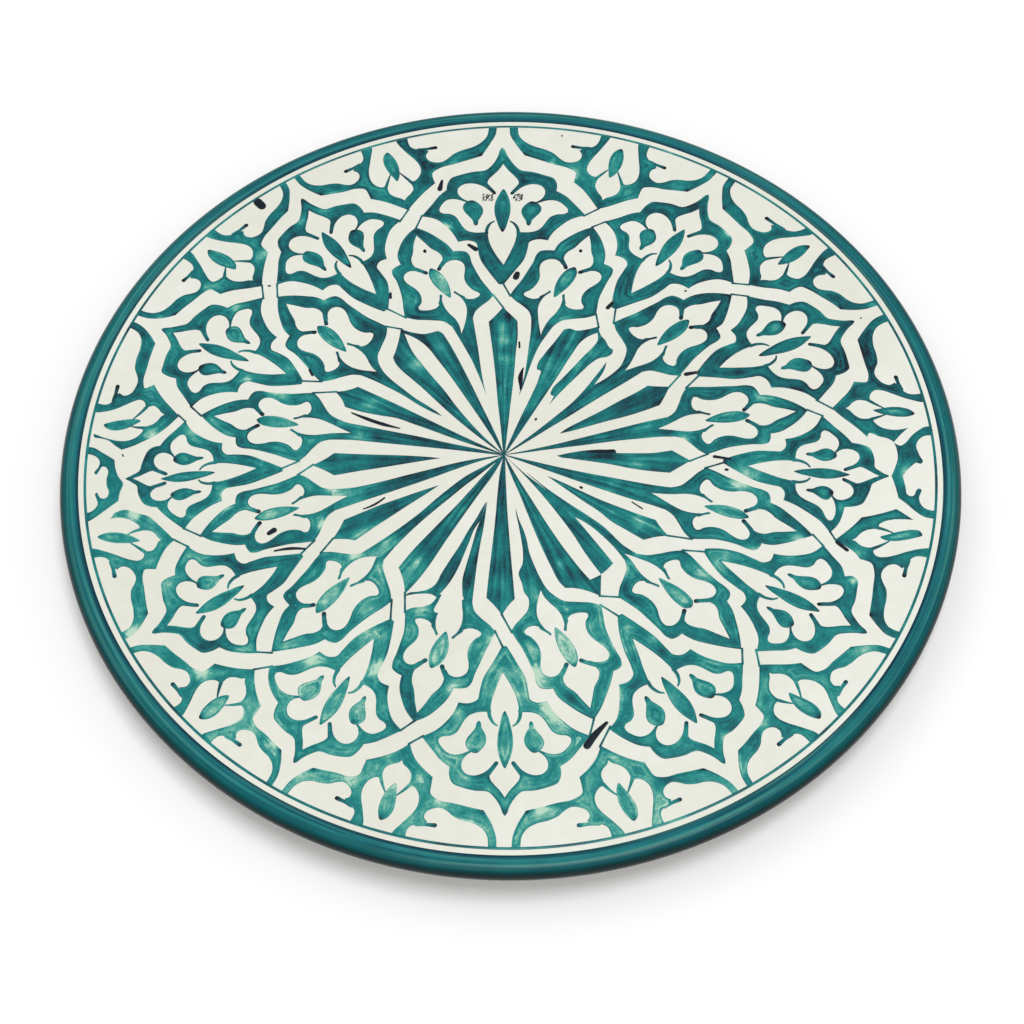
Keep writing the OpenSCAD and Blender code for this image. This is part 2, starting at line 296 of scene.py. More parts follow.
# ---------------------------------------------------------------- the star, as painted
# Wedges run between the kites. Each has its left side from the middle out, the foot of the white
# leaf above it, and its right side from outside in.
WEDGES = {
    0: (0, ((6.8, 31.8, SHARP), (7.9, 36.5), (9.4, 42.5), (10.5, 50), (11.6, 59), (12.7, 69),
            (12.9, 74.8, SHARP)),
        (17.3, 65.5),
        ((23.3, 70.6, SHARP), (20, 65.5), (17, 60.5), (14, 53.5), (12, 47.5), (10.2, 41.5),
         (8.3, 35.5))),
    1: (2, ((0, 0), (-3, 16), (-6, 30), (-9, 42), (-12.5, 51), (-15.5, 57.5), (-19.7, 66, SHARP),
            (-17, 63.5), (-13.5, 58), (-11.8, 54.5, SHARP), (-12, 60), (-13, 66), (-14.5, 70.5),
            (-17, 74), (-18.2, 75.5, SHARP)),
        (-11.2, 70.8),
        ((-6.5, 77, SHARP), (-5.7, 68), (-5, 58), (-4.2, 48), (-3, 36), (-2, 24), (-1, 14))),
    2: (3, ((0, 0), (-2.8, 12), (-5.5, 23), (-8.6, 34), (-11.8, 45.5), (-14.8, 56), (-17.2, 65),
            (-19.4, 74.3, SHARP)),
        (-13.2, 69.5),
        ((-8.8, 76.8, SHARP), (-8.7, 69), (-7.9, 60), (-6.9, 50), (-5.5, 40), (-4, 29),
         (-2.5, 18), (-1, 8))),
    3: (4, ((0, 0), (-3.3, 12), (-6.6, 25), (-10, 37), (-13, 47), (-16, 57), (-18.8, 66),
            (-21.4, 73, SHARP)),
        (-14.8, 66.8),
        ((-9.9, 76, SHARP), (-9, 69), (-7.6, 61), (-6.6, 54), (-5.5, 46), (-4.5, 38), (-3.3, 28),
         (-2, 17), (-0.8, 7))),
    4: (5, ((-4, 13), (-8, 26), (-12, 36.5), (-16, 46.5), (-19, 55), (-19.8, 59), (-21, 66),
            (-24, 73.5, SHARP)),
        (-19.5, 71),
        ((-17.7, 74, SHARP), (-17.3, 66), (-16, 58.5), (-14, 51), (-12.3, 47),
         (-10.6, 43.8, SHARP), (-9.5, 38), (-8, 30))),
    5: (6, ((-5.1, 27.6, SHARP), (-6.3, 33), (-8.6, 39.5), (-9.8, 44), (-10.8, 50), (-13, 57),
            (-15.8, 64), (-18.5, 69), (-22, 72.6, SHARP)),
        (-15.7, 69.5),
        ((-10.6, 76, SHARP), (-10.2, 73), (-8.8, 71), (-7.6, 66), (-6.2, 61), (-7.9, 56),
         (-8.1, 50), (-7.3, 43), (-6.2, 36), (-5.2, 30))),
    6: (7, ((-5.6, 24.6, SHARP), (-8, 30), (-11, 37), (-14, 45), (-17, 52.5), (-20.5, 60.5),
            (-25.5, 71.5, SHARP)),
        (-15, 62),
        ((-11.2, 77.5, SHARP), (-12.1, 72), (-12.3, 66), (-11.8, 60), (-10.5, 53), (-9.2, 46),
         (-8, 40), (-8, 35.3, SHARP))),
    7: (8, ((0, 0), (-3.2, 13), (-5.2, 23), (-7.2, 31), (-9.6, 40.5), (-11.6, 48), (-14, 55.5),
            (-17.3, 64.5), (-20.8, 72.2, SHARP)),
        (-18.3, 74),
        ((-13, 79, SHARP), (-12, 71), (-10.6, 62), (-9.2, 54.5), (-7.3, 46), (-5, 38), (-3, 30),
         (-1.2, 21), (-0.6, 10))),
    8: (8, ((0, 0), (2.4, 10), (4, 20), (5.2, 30), (6.3, 39), (7.6, 48), (9, 58), (10.5, 68),
            (11.9, 79, SHARP)),
        (15.8, 70.5),
        ((22.5, 75.3, SHARP), (18.8, 67.5), (16.5, 60), (14.3, 51), (12.3, 42), (9.9, 32),
         (7, 20), (3.5, 9))),
    9: (9, ((0, 0), (1.5, 13), (2.8, 23), (4, 33), (5, 42), (6, 51), (7, 60), (7.8, 68),
            (7.9, 78.5, SHARP)),
        (11.5, 69),
        ((19, 75, SHARP), (17.5, 72), (15.8, 65), (13.8, 56), (11.8, 47), (9.8, 38), (7.5, 29),
         (5, 19), (2.8, 10))),
    10: (10, ((4, 34.6, SHARP), (3.7, 40), (3.9, 47), (4.8, 55), (5.1, 64), (5, 72),
              (4.4, 78.3, SHARP)),
         (10, 73.3),
         ((14.3, 74.8, SHARP), (11.7, 71), (9.5, 65), (7.9, 58), (6.3, 50), (5.6, 43.5),
          (4.9, 38))),
    11: (0, ((-8, 32, SHARP), (-9.8, 38), (-12.4, 45.5), (-14.5, 51), (-17.5, 57.5),
             (-20.5, 63.5), (-24.3, 70.8, SHARP)),
         (-19.8, 66.3),
         ((-14.4, 75, SHARP), (-13.3, 68), (-12, 59), (-10.9, 50), (-10, 43), (-9, 37)))}

KITES = (
    (0, ((0, 0), (-1.5, 15), (-2.9, 30), (-3.6, 40), (-4.3, 48), (-5.3, 58), (-6.2, 66),
         (-7, 73, SHARP), (-3.5, 77), (-0.3, 81.3, SHARP), (3, 77.5), (6.4, 73.5, SHARP),
         (6.5, 65), (5.6, 56), (4.9, 46), (4, 36), (3, 27), (1.8, 15))),
    (1, ((0, 0), (-1.8, 10), (-3.6, 22), (-5, 33), (-7, 44.5), (-8.3, 48), (-9.8, 47.7), (-11, 50),
         (-11.1, 57), (-10.3, 66), (-9.9, 73.3, SHARP), (-8, 75), (-4.5, 75.6), (-1, 78.2),
         (3.3, 82.6, SHARP), (6.8, 78.7), (9.8, 77.3), (13, 74.9), (15.3, 74.4, SHARP),
         (16, 72.8), (15.2, 70.2), (11.8, 66.8), (10, 62.5), (8.7, 57), (6.8, 48), (5.2, 39.5),
         (4.4, 33.3, SHARP), (4.1, 38.6, SHARP), (2.2, 38.8), (1.5, 41), (2.6, 49), (4, 57),
         (5.2, 64.5), (6.5, 71), (6.7, 75.5), (4.6, 79.2, SHARP), (2.2, 76), (0.3, 71), (0, 64),
         (0.2, 50), (0.3, 30), (0.3, 10))),
    (2, ((2.8, 27.2, SHARP), (2.2, 31), (2, 40), (2, 50), (1.6, 60), (1.6, 70), (1.2, 75.2, SHARP),
         (4, 79), (6.8, 83.4, SHARP), (10, 79), (13, 74.2, SHARP), (12, 67), (10.3, 58), (8, 49),
         (6.2, 41), (4.2, 32))),
    (3, ((0.5, 23.8, SHARP), (-1, 30), (-2.2, 38), (-2.4, 46), (-2, 50), (-0.5, 50.3, SHARP),
         (-0.3, 58), (-0.3, 67), (-1.5, 75.1, SHARP), (1.2, 79), (4.2, 83.2, SHARP), (7.2, 78.5),
         (10.3, 73.8, SHARP), (9.4, 66), (7.8, 57), (5.3, 47), (3.4, 37), (2.2, 30), (1, 24.5))),
    (4, ((0.1, 22, SHARP), (-0.3, 29), (-0.4, 38), (-0.5, 47), (-1.3, 58), (-2.3, 68),
         (-3.2, 74.9, SHARP), (-1.2, 78), (1.3, 83.4, SHARP), (4, 79.5), (8.4, 74.9, SHARP),
         (7.6, 66), (6.8, 58), (5, 51), (3.8, 43), (2.6, 36), (1.4, 29))),
    (5, ((0, 0), (0.8, 13), (1.2, 26), (1.7, 40), (1.8, 52), (1.4, 62), (0.9, 69),
         (0.2, 74.3, SHARP), (-5.3, 74.5, SHARP), (-2, 79.5), (0.5, 83.5, SHARP), (4, 78.5),
         (8, 74.5), (11.5, 72.3, SHARP), (12.1, 69), (11.3, 60), (9.9, 50), (8.3, 41), (6.3, 31),
         (4.3, 21), (2.8, 12))),
    (5, ((0, 0), (-3.3, 14), (-6.5, 24), (-9, 33), (-10.3, 40), (-10.8, 46), (-11.5, 55),
         (-12.1, 63), (-12.7, 72.3, SHARP), (-9, 73.6), (-5.3, 74.4, SHARP), (-4.9, 62),
         (-5.3, 52), (-5, 40), (-4.3, 29), (-3.2, 19), (-1.5, 8))),
    (6, ((0, 0), (-0.8, 14), (-1.3, 27), (-2.1, 40), (-2.9, 52), (-3.7, 63), (-4.5, 73.6, SHARP),
         (-2, 76.5), (1, 81.5, SHARP), (4.5, 76.5), (7.7, 73, SHARP), (6.9, 64), (5.8, 53),
         (4.8, 43), (3.8, 32), (2.9, 20), (1.8, 9))),
    (7, ((0, 0), (-1, 10), (-0.6, 24), (-0.3, 38), (-0.2, 52), (-0.3, 66), (0.2, 75),
         (1.4, 82.8, SHARP), (5.5, 77.5), (10.6, 73, SHARP), (9.7, 62), (8, 51), (6.5, 42),
         (5, 33), (3.5, 22), (2.2, 12))),
    (8, ((0.7, 32.8, SHARP), (-0.4, 40), (-1.5, 49), (-2.8, 58), (-4.2, 68), (-6, 78.4, SHARP),
         (-3.5, 81.5), (-0.6, 86.8, SHARP), (2, 82.5), (5.7, 77.8, SHARP), (5.2, 70), (4.5, 60),
         (3.4, 51), (2.2, 42))),
    (9, ((-1.6, 28.3, SHARP), (-3.2, 37), (-5, 46), (-6.8, 55), (-8.5, 64), (-11, 75.5, SHARP),
         (-8.3, 80), (-5.8, 85.5, SHARP), (-2.5, 80), (0.8, 76, SHARP), (0.4, 67), (0.1, 57),
         (-0.2, 46), (-0.8, 36))),
    (10, ((0, 0), (-1.8, 11), (-3.4, 22), (-4.7, 33), (-6, 43), (-7.5, 53), (-9, 57), (-10.7, 62),
          (-12.6, 68.5), (-13.9, 75.3, SHARP), (-11.3, 78.5), (-9.2, 83.4, SHARP), (-5.5, 79),
          (-1.6, 76, SHARP), (-1.2, 66), (-0.8, 54), (-0.7, 42), (-0.6, 28), (-0.4, 14))),
    (11, ((0, 0), (-5, 14), (-8, 24), (-10.6, 34), (-12.4, 42), (-14.3, 50.5), (-16.2, 57.5),
          (-17.9, 64), (-18.3, 68), (-17.8, 71.3, SHARP), (-14, 75), (-10.5, 79),
          (-7, 83.6, SHARP), (-6.8, 80.3, SHARP), (-7.7, 75.5), (-8.4, 69.5), (-8, 62),
          (-7.3, 54), (-6.1, 44), (-5.7, 35), (-4.8, 25), (-3, 13))),
    (11, ((0, 0), (0.3, 12), (0.4, 25), (0.3, 38), (0.1, 50), (-0.5, 60), (-1.3, 69),
          (-3.2, 74.8), (-6.8, 80.6, SHARP), (-7, 83.6, SHARP), (-2.5, 78.5), (1, 75.8),
          (4.5, 74.7), (7.6, 73.9), (8.8, 71.3, SHARP), (8.7, 66), (8.1, 57.5), (7.2, 49),
          (6, 39), (4.6, 28.5), (3.2, 17.5), (1.6, 7))))
KITE_TIPS = ((-0.3, 81.3), (3.3, 82.6), (6.8, 83.4), (4.2, 83.2), (1.3, 83.4), (0.5, 83.5),
             (1, 81.5), (1.4, 82.8), (-0.6, 86.8), (-5.8, 85.5), (-9.2, 83.4), (-7, 83.6))

# The sixth wedge is made of two strands. The right one runs on to the next kite's tip, and
# leaves some white open above the left one.
LOOSE_WEDGE = 6
LOOSE_HOUR, LOOSE_WEDGE_LEFT, _, LOOSE_WEDGE_RIGHT = WEDGES[LOOSE_WEDGE]
LOOSE_STRAND = ((-5.5, 24.8, SHARP),) + LOOSE_WEDGE_RIGHT[::-1] + (
    (-8.5, 77.3), (-5, 79), (-1.5, 81.5), (1, 84, SHARP), (0.5, 82), (-3, 79), (-6, 76),
    (-7.3, 73), (-6.9, 66), (-6.7, 58), (-6.6, 50), (-6, 42), (-5.9, 34), (-5.4, 27))
LOOSE_LEFT = LOOSE_WEDGE_LEFT + (
    (-22, 72.3), (-18.7, 68.5), (-16, 63.5), (-14.3, 58), (-12.3, 51), (-10.5, 45),
    (-8.9, 39.5), (-8, 35.3, SHARP))
LOOSE_GAP = (
    (-22, 71, SHARP), (-20.8, 76), (-18.5, 82), (-14, 84), (-12.8, 78), (-12.1, 70, SHARP),
    (-17, 66, SHARP))

# At hours 3 and 9 the border runs across the arch's tip as one scroll, and the strokes of the
# tulips beside it end free.
SCROLLS = (
    (3, ((-10.3, 192, SHARP), (-10.1, 188.4), (-8.2, 185.2), (-5.6, 182.1), (-2, 179),
         (-0.7, 176.9), (-2.5, 174.1, SHARP), (1.2, 174.9), (6.4, 174.8), (10.5, 173.3),
         (15, 171.2, SHARP), (21, 172.4), (26.4, 173, SHARP), (29.3, 175.9), (33.5, 179.5),
         (36.6, 183.1), (37.9, 190, SHARP), (33.5, 190, SHARP), (33.3, 185.8), (31.9, 183.5),
         (29.3, 182.1), (26.2, 182.1), (24.1, 183.1), (22.7, 183.5), (22, 182.4), (23, 181.1),
         (24.9, 180.3), (25.9, 179), (25.1, 177.2), (21, 176.7), (15.2, 176.1, SHARP),
         (12.1, 178.5), (9.7, 181.1), (8.5, 182.8), (9.3, 184.5), (7.9, 185.8), (6.4, 185.2),
         (3.3, 184.2), (-0.4, 183.7), (-3.5, 185.2), (-5.1, 187.3), (-5.4, 192, SHARP))),
    (9, ((-37.2, 184, SHARP), (-37.2, 181.6), (-35.1, 178.5), (-31.5, 174.8), (-26.8, 169.9),
         (-26.1, 169.2, SHARP), (-22.6, 169.1), (-16.4, 168.3), (-14.8, 169.6, SHARP),
         (-13.3, 170.6), (-9.1, 172.2), (-4.9, 173, SHARP), (-3.4, 175.3), (-0.8, 179.5),
         (1.1, 182.6), (1.3, 188, SHARP), (-2.6, 188, SHARP), (-2.8, 182.6), (-4.4, 180.3),
         (-6.5, 179.3), (-9.1, 179.7), (-12.2, 181.1), (-12.9, 180.4), (-10.6, 179), (-8.6, 178),
         (-8.8, 176.5), (-10.6, 175.3), (-15.3, 175.5), (-18.5, 175.1), (-22.1, 173.8),
         (-24.7, 174.6), (-25.2, 176.6), (-23.9, 178), (-22.2, 179), (-22.6, 179.6),
         (-25.2, 178.9), (-27.8, 178), (-30.4, 178.9), (-32.2, 180.8), (-32.5, 186, SHARP))))
FREE_RIGHT = {
    2: (3, ((-15, 192, SHARP), (-14.5, 166, SHARP), (-11.3, 168.6), (-9.3, 173.8), (-9.6, 179),
            (-11, 182.4, SHARP), (-8.7, 179.7), (-5.6, 176.6), (-2.7, 174.1, SHARP),
            (-4.6, 171.7), (-5.9, 168), (-7.7, 163.4), (-5.9, 162.6, SHARP), (-11.3, 158.1),
            (-17.6, 151.9))),
    8: (9, ((-42, 190, SHARP), (-40.3, 159.2, SHARP), (-37.7, 160.8), (-35.6, 166),
            (-35.6, 171), (-38.3, 173.8), (-37.6, 174.7), (-35.1, 171.6), (-32.5, 170.4, SHARP),
            (-30.6, 166), (-32.2, 160.8), (-33.7, 155.5), (-37.9, 150.7)))}
FREE_LEFT = {
    3: (3, ((43.5, 190, SHARP), (41.5, 164.5, SHARP), (40.2, 163.9), (37.8, 168), (37.4, 172.2),
            (38.7, 176.4), (40.8, 180.5), (41.5, 182.3, SHARP), (38.7, 179), (34.8, 174.8),
            (32.1, 171.5, SHARP), (33.5, 167), (35, 160.8), (35.8, 156.1, SHARP), (39, 153))),
    9: (9, ((11, 190, SHARP), (11.2, 161.8, SHARP), (9.1, 163.9), (6.5, 168), (6, 172.7),
            (7.1, 176.4), (9.1, 180.5), (9.3, 182.6), (8.1, 183.6), (6.5, 182.8), (6.3, 181),
            (5, 176.4), (2.4, 173.3), (0.5, 170.4, SHARP), (2.4, 166), (5.5, 160.8),
            (7.8, 157.1, SHARP), (13, 151.5)))}

# Slips of the brush: dark strokes and blots, as an hour, a centreline and widths.
SLIPS = (
    (6, ((-33.7, 143.3), (-37, 138.5), (-42, 132.9)), (3.2, 2.8, 1.4)),
    (1, ((2.6, 97.6), (2, 94)), (1.6, 2)),
    (0, ((-29.8, 155.5), (-30.8, 150.5)), (1.2, 2.6)),
    (0, ((-16.5, 117.3), (-13.2, 114.8)), (1.6, 2.4)),
    (0, ((6.5, 100.5), (5.8, 98.4)), (2.6, 3)),
    (2, ((6.9, 99), (5, 93.5)), (1.4, 2)),
    (3, ((3.6, 100.6), (2.3, 94)), (1, 1.6)),
    (8, ((6.4, 111.4), (4.2, 105), (1, 99.5)), (0.8, 1.5, 1)),
    (8, ((15.5, 109.5), (15.9, 106.8)), (2, 2.6)),
    (10, ((-5, 100), (-6.9, 97.3)), (1.2, 1.2)),
    (11, ((-1.5, 103.8), (-2.7, 101.5)), (1.2, 1.3)),
    (11, ((-31.8, 181.5), (-31.2, 178.6)), (4.4, 4.2)),
    (11, ((-33.9, 186.5), (-32.8, 182)), (0.8, 1.4)),
    (0, ((29, 182.7), (29, 182.3)), (0.8, 0.7)),
    (2, ((21.5, 179.1), (21.5, 178.8)), (0.7, 0.7)),
    (2, ((-34.5, 118.8), (-34.5, 118.5)), (1, 0.9)),
    (0, ((36.7, 113.7), (36.7, 113.2)), (1.4, 1.4)),
    (0, ((-37.5, 113.9), (-37.5, 113.4)), (1.5, 1.5)),
    (1, ((-24.8, 116.9), (-24.6, 116.5)), (1.2, 1.2)),
    (11, ((24.3, 117.3), (24.3, 116.8)), (1.5, 1.4)),
    (10, ((24.8, 142), (25.2, 141.4)), (0.9, 0.9)),
    (3, ((9.3, 99.3), (9.3, 98.7)), (1.3, 1.3)),
    (4, ((-29, 154.5), (-30.6, 149.2)), (1.6, 1.9)),
    (9, ((-2, 169.8), (-2.9, 169.3)), (0.6, 0.6)),
    (8, ((6.4, 67.8), (6, 63), (6.9, 57)), (0.6, 1.1, 0.8)),
    (9, ((22.4, 69), (19.2, 62), (16.3, 54.5), (14.2, 47)), (0.7, 1.7, 1.8, 0.6)),
    (0, ((9, 47), (7.4, 42.5), (7.6, 36.5)), (0.7, 1.7, 0.7)),
    (4, ((-5.5, 67), (-6.3, 61.5)), (0.7, 0.6)),
    (4, ((-2, 38.6), (-2, 38)), (1.2, 1.2)),
    (1, ((-15.7, 44.5), (-13.7, 39.5), (-11, 34.5)), (0.8, 1.8, 1)),
    (0, ((7.2, 61.5), (7.3, 58.5)), (0.9, 0.9)),
    (1, ((3, 24), (3, 23.4)), (1, 1)))


# ---------------------------------------------------------------- plane helpers

def on_plate(points, hour):
    """Points of an hour's frame, turned onto the pattern."""
    a = -math.radians(HOUR_ANGLE * hour)
    p = np.asarray([q[:2] for q in points], float)
    return np.column_stack((p[:, 0] * math.cos(a) - p[:, 1] * math.sin(a),
                            p[:, 0] * math.sin(a) + p[:, 1] * math.cos(a)))


def flow(points, sharp, closed, step):
    """A smooth line through the points, with corners where sharp says so."""
    n = len(points)
    spans = n if closed else n - 1
    p = np.asarray(points, float)
    lengths = [max(1e-6, float(np.linalg.norm(p[(i + 1) % n] - p[i]))) for i in range(spans)]

    def heading(i):
        before = lengths[(i - 1) % spans]
        after = lengths[i % spans]
        back = (p[i] - p[i - 1]) / before
        ahead = (p[(i + 1) % n] - p[i]) / after
        return (back * after + ahead * before) / (before + after)

    line = []
    for i in range(spans):
        j = (i + 1) % n
        size = lengths[i]
        chord = (p[j] - p[i]) / size
        free_start = sharp[i] or (not closed and i == 0)
        free_end = sharp[j] or (not closed and j == n - 1)
        start = chord if free_start else heading(i)
        end = chord if free_end else heading(j)
        if free_start and not free_end:
            start = 1.5 * chord - 0.5 * end
        if free_end and not free_start:
            end = 1.5 * chord - 0.5 * start
        count = max(1, math.ceil(size / step))
        for t in np.arange(count) / count:
            h0 = 2 * t ** 3 - 3 * t ** 2 + 1
            h1 = t ** 3 - 2 * t ** 2 + t
            h2 = 3 * t ** 2 - 2 * t ** 3
            h3 = t ** 3 - t ** 2
            line.append(h0 * p[i] + h1 * size * start + h2 * p[j] + h3 * size * end)
    if not closed:
        line.append(p[-1])
    return np.array(line)


def outline(points, place, step=1.1):
    """A closed outline on the plate. place moves the drawn points there first."""
    sharp = [len(q) > 2 for q in points]
    return flow(place(points), sharp, True, step)


def brush(points, widths, place, step=0.9):
    """The outline of one brush stroke with round ends."""
    line = flow(place(points), [False] * len(points), False, step)
    along = np.linspace(0, len(widths) - 1, len(line))
    half = np.interp(along, range(len(widths)), widths) / 2
    heading = np.gradient(line, axis=0)
    heading /= np.maximum(1e-6, np.linalg.norm(heading, axis=1))[:, None]
    side = np.column_stack((-heading[:, 1], heading[:, 0]))
    left = line + side * half[:, None]
    right = line - side * half[:, None]

    def cap(i, sign):
        turns = np.radians([60, 30, 0, -30, -60])
        return [line[i] + half[i] * sign * (heading[i] * math.cos(t) + side[i] * math.sin(t))
                for t in turns]

    return np.array(list(left) + cap(-1, 1) + list(right[::-1]) + cap(0, -1))


def flip(points):
    return [(-q[0],) + tuple(q[1:]) for q in points]


# The warp: a thin plate spline from the regular drawing to where the painter put things.
drawn = []
seen = []


def note(marks, found, marks_hour, found_hour):
    """Notes where drawn points really are. A point that is None was not painted."""
    keep = [i for i, q in enumerate(found) if q is not None]
    drawn.extend(on_plate([marks[i] for i in keep], marks_hour))
    seen.extend(on_plate([found[i] for i in keep], found_hour))


for hour in range(HOURS):
    note(ARCH_MARKS, ARCHES_SEEN[hour], hour, hour)
    note(BORDER_MARKS, BORDERS_SEEN[hour], hour, hour)
    note(TULIP_MARKS, TULIPS_SEEN[hour][1], hour + 0.5, TULIPS_SEEN[hour][0])
    note(BUD_MARKS, BUDS_SEEN[hour][1], hour + 0.5, BUDS_SEEN[hour][0])
    wedge_hour, wedge_left, leaf_foot, wedge_right = WEDGES[hour]
    note(((-6.5, 75.5), (0, 68), (6.5, 75.5)), (wedge_left[-1], leaf_foot, wedge_right[0]),
         hour + 0.5, wedge_hour)

drawn = np.array(drawn)
seen = np.array(seen)


def bend_kernel(a, b):
    """The thin plate spline's kernel between two lists of points."""
    d2 = ((a[:, None, :] - b[None, :, :]) ** 2).sum(-1)
    return d2 * np.log(d2 + 1e-9) / 2


# How much the warp is smoothed: it misses its points by 0.2 mm on average, and 0.9 mm at most.
WARP_EASE = 12.0
count = len(drawn)
system = np.zeros((count + 3, count + 3))
system[:count, :count] = bend_kernel(drawn, drawn) + WARP_EASE * np.eye(count)
system[:count, count] = 1
system[:count, count + 1:] = drawn
system[count, :count] = 1
system[count + 1:, :count] = drawn.T
wanted = np.zeros((count + 3, 2))
wanted[:count] = seen - drawn
bend_weights = np.linalg.solve(system, wanted)


def warp(points):
    """Moves points of the regular drawing to where the painter would have put them."""
    p = np.asarray(points, float)
    basis = np.column_stack((bend_kernel(p, drawn), np.ones(len(p)), p))
    return p + basis @ bend_weights


def drawn_at(hour):
    """Places drawn points at an hour and bends them to the painter's hand."""
    return lambda points: warp(on_plate(points, hour))


def painted_at(hour):
    """Places points that were noted as painted, without bending them."""
    return lambda points: on_plate(points, hour)


def on_face(line):
    """An outline about the plate's middle, turned anticlockwise."""
    p = np.array(line)
    p[:, 0] += PATTERN_SHIFT
    nxt = np.roll(p, -1, axis=0)
    return p if (p[:, 0] * nxt[:, 1] - p[:, 1] * nxt[:, 0]).sum() > 0 else p[::-1].copy()


# ---------------------------------------------------------------- cells of paint

def inside(points, line):
    """Which points lie in a closed outline."""
    x, y = points[:, 0], points[:, 1]
    found = np.zeros(len(points), bool)
    x0, y0 = line[-1]
    for x1, y1 in line:
        crosses = (y0 > y) != (y1 > y)
        if crosses.any():
            found ^= crosses & (x < (x1 - x0) * (y - y0) / (y1 - y0 + 1e-12) + x0)
        x0, y0 = x1, y1
    return found


# Points inside the paint lie on a loose grid, and keep clear of the outlines' points.
GRID = 1.5
GRID_JITTER = 0.35
GRID_GAP = 0.55
ARC_STEP = 0.4
# Some strokes are single touches of thinner paint.
THINNER = {"bud_almonds": 0.24, "border_almonds": 0.12, "palmette_almonds": 0.08,
           "palmette_drops": 0.12}
rng = np.random.default_rng(7)
paint = {}
edge_points = []
seams = []


def ring_arc(points):
    """The part of the ring line that passes these points."""
    turns = np.degrees(np.arctan2(points[:, 1], points[:, 0]))
    middle = math.degrees(math.atan2(points[:, 1].mean(), points[:, 0].mean()))
    reach = np.abs((turns - middle + 180) % 360 - 180).max() + 1
    return [(PAINT_R * math.cos(t), PAINT_R * math.sin(t))
            for t in np.radians(np.arange(middle - reach, middle + reach, ARC_STEP))]


def loose_grid(low, high):
    """A slightly shaken grid of points between two corners."""
    gx, gy = np.meshgrid(np.arange(low[0], high[0], GRID), np.arange(low[1], high[1], GRID))
    grid = np.column_stack((gx.ravel(), gy.ravel()))
    return grid + rng.uniform(-GRID_JITTER, GRID_JITTER, grid.shape)


def clear_of(grid, corners, gap, part_size=400):
    """The grid's points that lie farther than the gap from every corner."""
    near = np.full(len(grid), 1e9)
    for start in range(0, len(corners), part_size):
        part = corners[start:start + part_size]
        near = np.minimum(near, np.sqrt(((grid[:, None] - part[None]) ** 2).sum(-1)).min(1))
    return grid[near > gap]


def note_outer_edges(faces, corners):
    """Notes both ends and the middle of each edge that only one triangle has."""
    uses = {}
    for face in faces:
        for i in range(len(face)):
            pair = tuple(sorted((face[i], face[i - 1])))
            uses[pair] = uses.get(pair, 0) + 1
    for (a, b), times in uses.items():
        if times == 1:
            edge_points.extend((corners[a], (corners[a] + corners[b]) / 2, corners[b]))


def add_cell(layers, tone, lift=0.0):
    """Splits a cell into triangles. Each layer is (outline, node or None for white); a later
    layer lies over an earlier one. Nothing is kept outside the ring line."""
    layers = [(on_face(line), node) for line, node in layers]
    points = []
    bounds = []
    for line, node in layers:
        first = len(points)
        points.extend(line)
        bounds += [(first + i, first + (i + 1) % len(line)) for i in range(len(line))]
    everything = np.array(points)
    if np.linalg.norm(everything, axis=1).max() > PAINT_R:
        arc = ring_arc(everything)
        bounds += [(len(points) + i, len(points) + i + 1) for i in range(len(arc) - 1)]
        points.extend(arc)
    grid = loose_grid(everything.min(0), everything.max(0))

    def layer_of(places):
        top = np.full(len(places), -1)
        for i, (line, node) in enumerate(layers):
            top[inside(places, line)] = i
        top[np.linalg.norm(places, axis=1) > PAINT_R] = -1
        return top

    painted = np.array([node is not None for line, node in layers] + [False])
    grid = grid[painted[layer_of(grid)]]
    if len(grid):
        grid = clear_of(grid, np.array(points), GRID_GAP)
    points.extend(grid)
    made = geometry.delaunay_2d_cdt([Vector(p) for p in points], bounds, [], 0, 1e-5)
    corners = np.array([tuple(v) for v in made[0]])
    middles = np.array([corners[list(face)].mean(0) for face in made[2]])
    kept = []
    nodes_of = []
    for face, i in zip(made[2], layer_of(middles)):
        if painted[i]:
            kept.append(face)
            nodes_of.append(layers[i][1])
    note_outer_edges(kept, corners)
    for node in sorted(set(nodes_of)):
        store = paint.setdefault(node, {"points": [], "faces": [], "tone": [], "lift": []})
        moved = {}
        for face, owner in zip(kept, nodes_of):
            if owner != node:
                continue
            row = []
            for i in face:
                if i not in moved:
                    moved[i] = len(store["points"])
                    store["points"].append(corners[i])
                    store["tone"].append(tone + THINNER.get(node, 0))
                    store["lift"].append(lift)
                row.append(moved[i])
            store["faces"].append(row)


def both(shape, place):
    return [outline(shape, place), outline(flip(shape), place)]


def both_brush(line, widths, place):
    return [brush(line, widths, place), brush(flip(line), widths, place)]


# Where paint pools dark or is washed thin: place, reach in mm, and how much lighter.
pools = []


def pool(points, hour, reach, change, bent=True):
    """Notes a spot at each point: a change below 0 is darker."""
    place = drawn_at(hour) if bent else painted_at(hour)
    for x, y in place(points):
        pools.append((x + PATTERN_SHIFT, y, reach, change))


# Base tone of the washes by hour: paler towards the near side of the plate.
# A tone of 0 is the darkest green and 1 is nearly white.
ARCH_TONE = (0.36, 0.35, 0.36, 0.39, 0.46, 0.53, 0.6, 0.6, 0.52, 0.43, 0.38, 0.36)
BORDER_TONE = (0.42, 0.37, 0.38, 0.4, 0.55, 0.66, 0.7, 0.68, 0.52, 0.43, 0.42, 0.4)
STAR_TONE = 0.34
CROSSING_TONE = 0.46
SLIP_TONE = -0.6
SCRATCH_TONE = -0.45
# How far later strokes lie above the first ones.
STAR_LIFT = 0.02
CROSSING_LIFT = 0.05
SLIP_LIFT = 0.08
SCRATCH_LIFT = 0.09



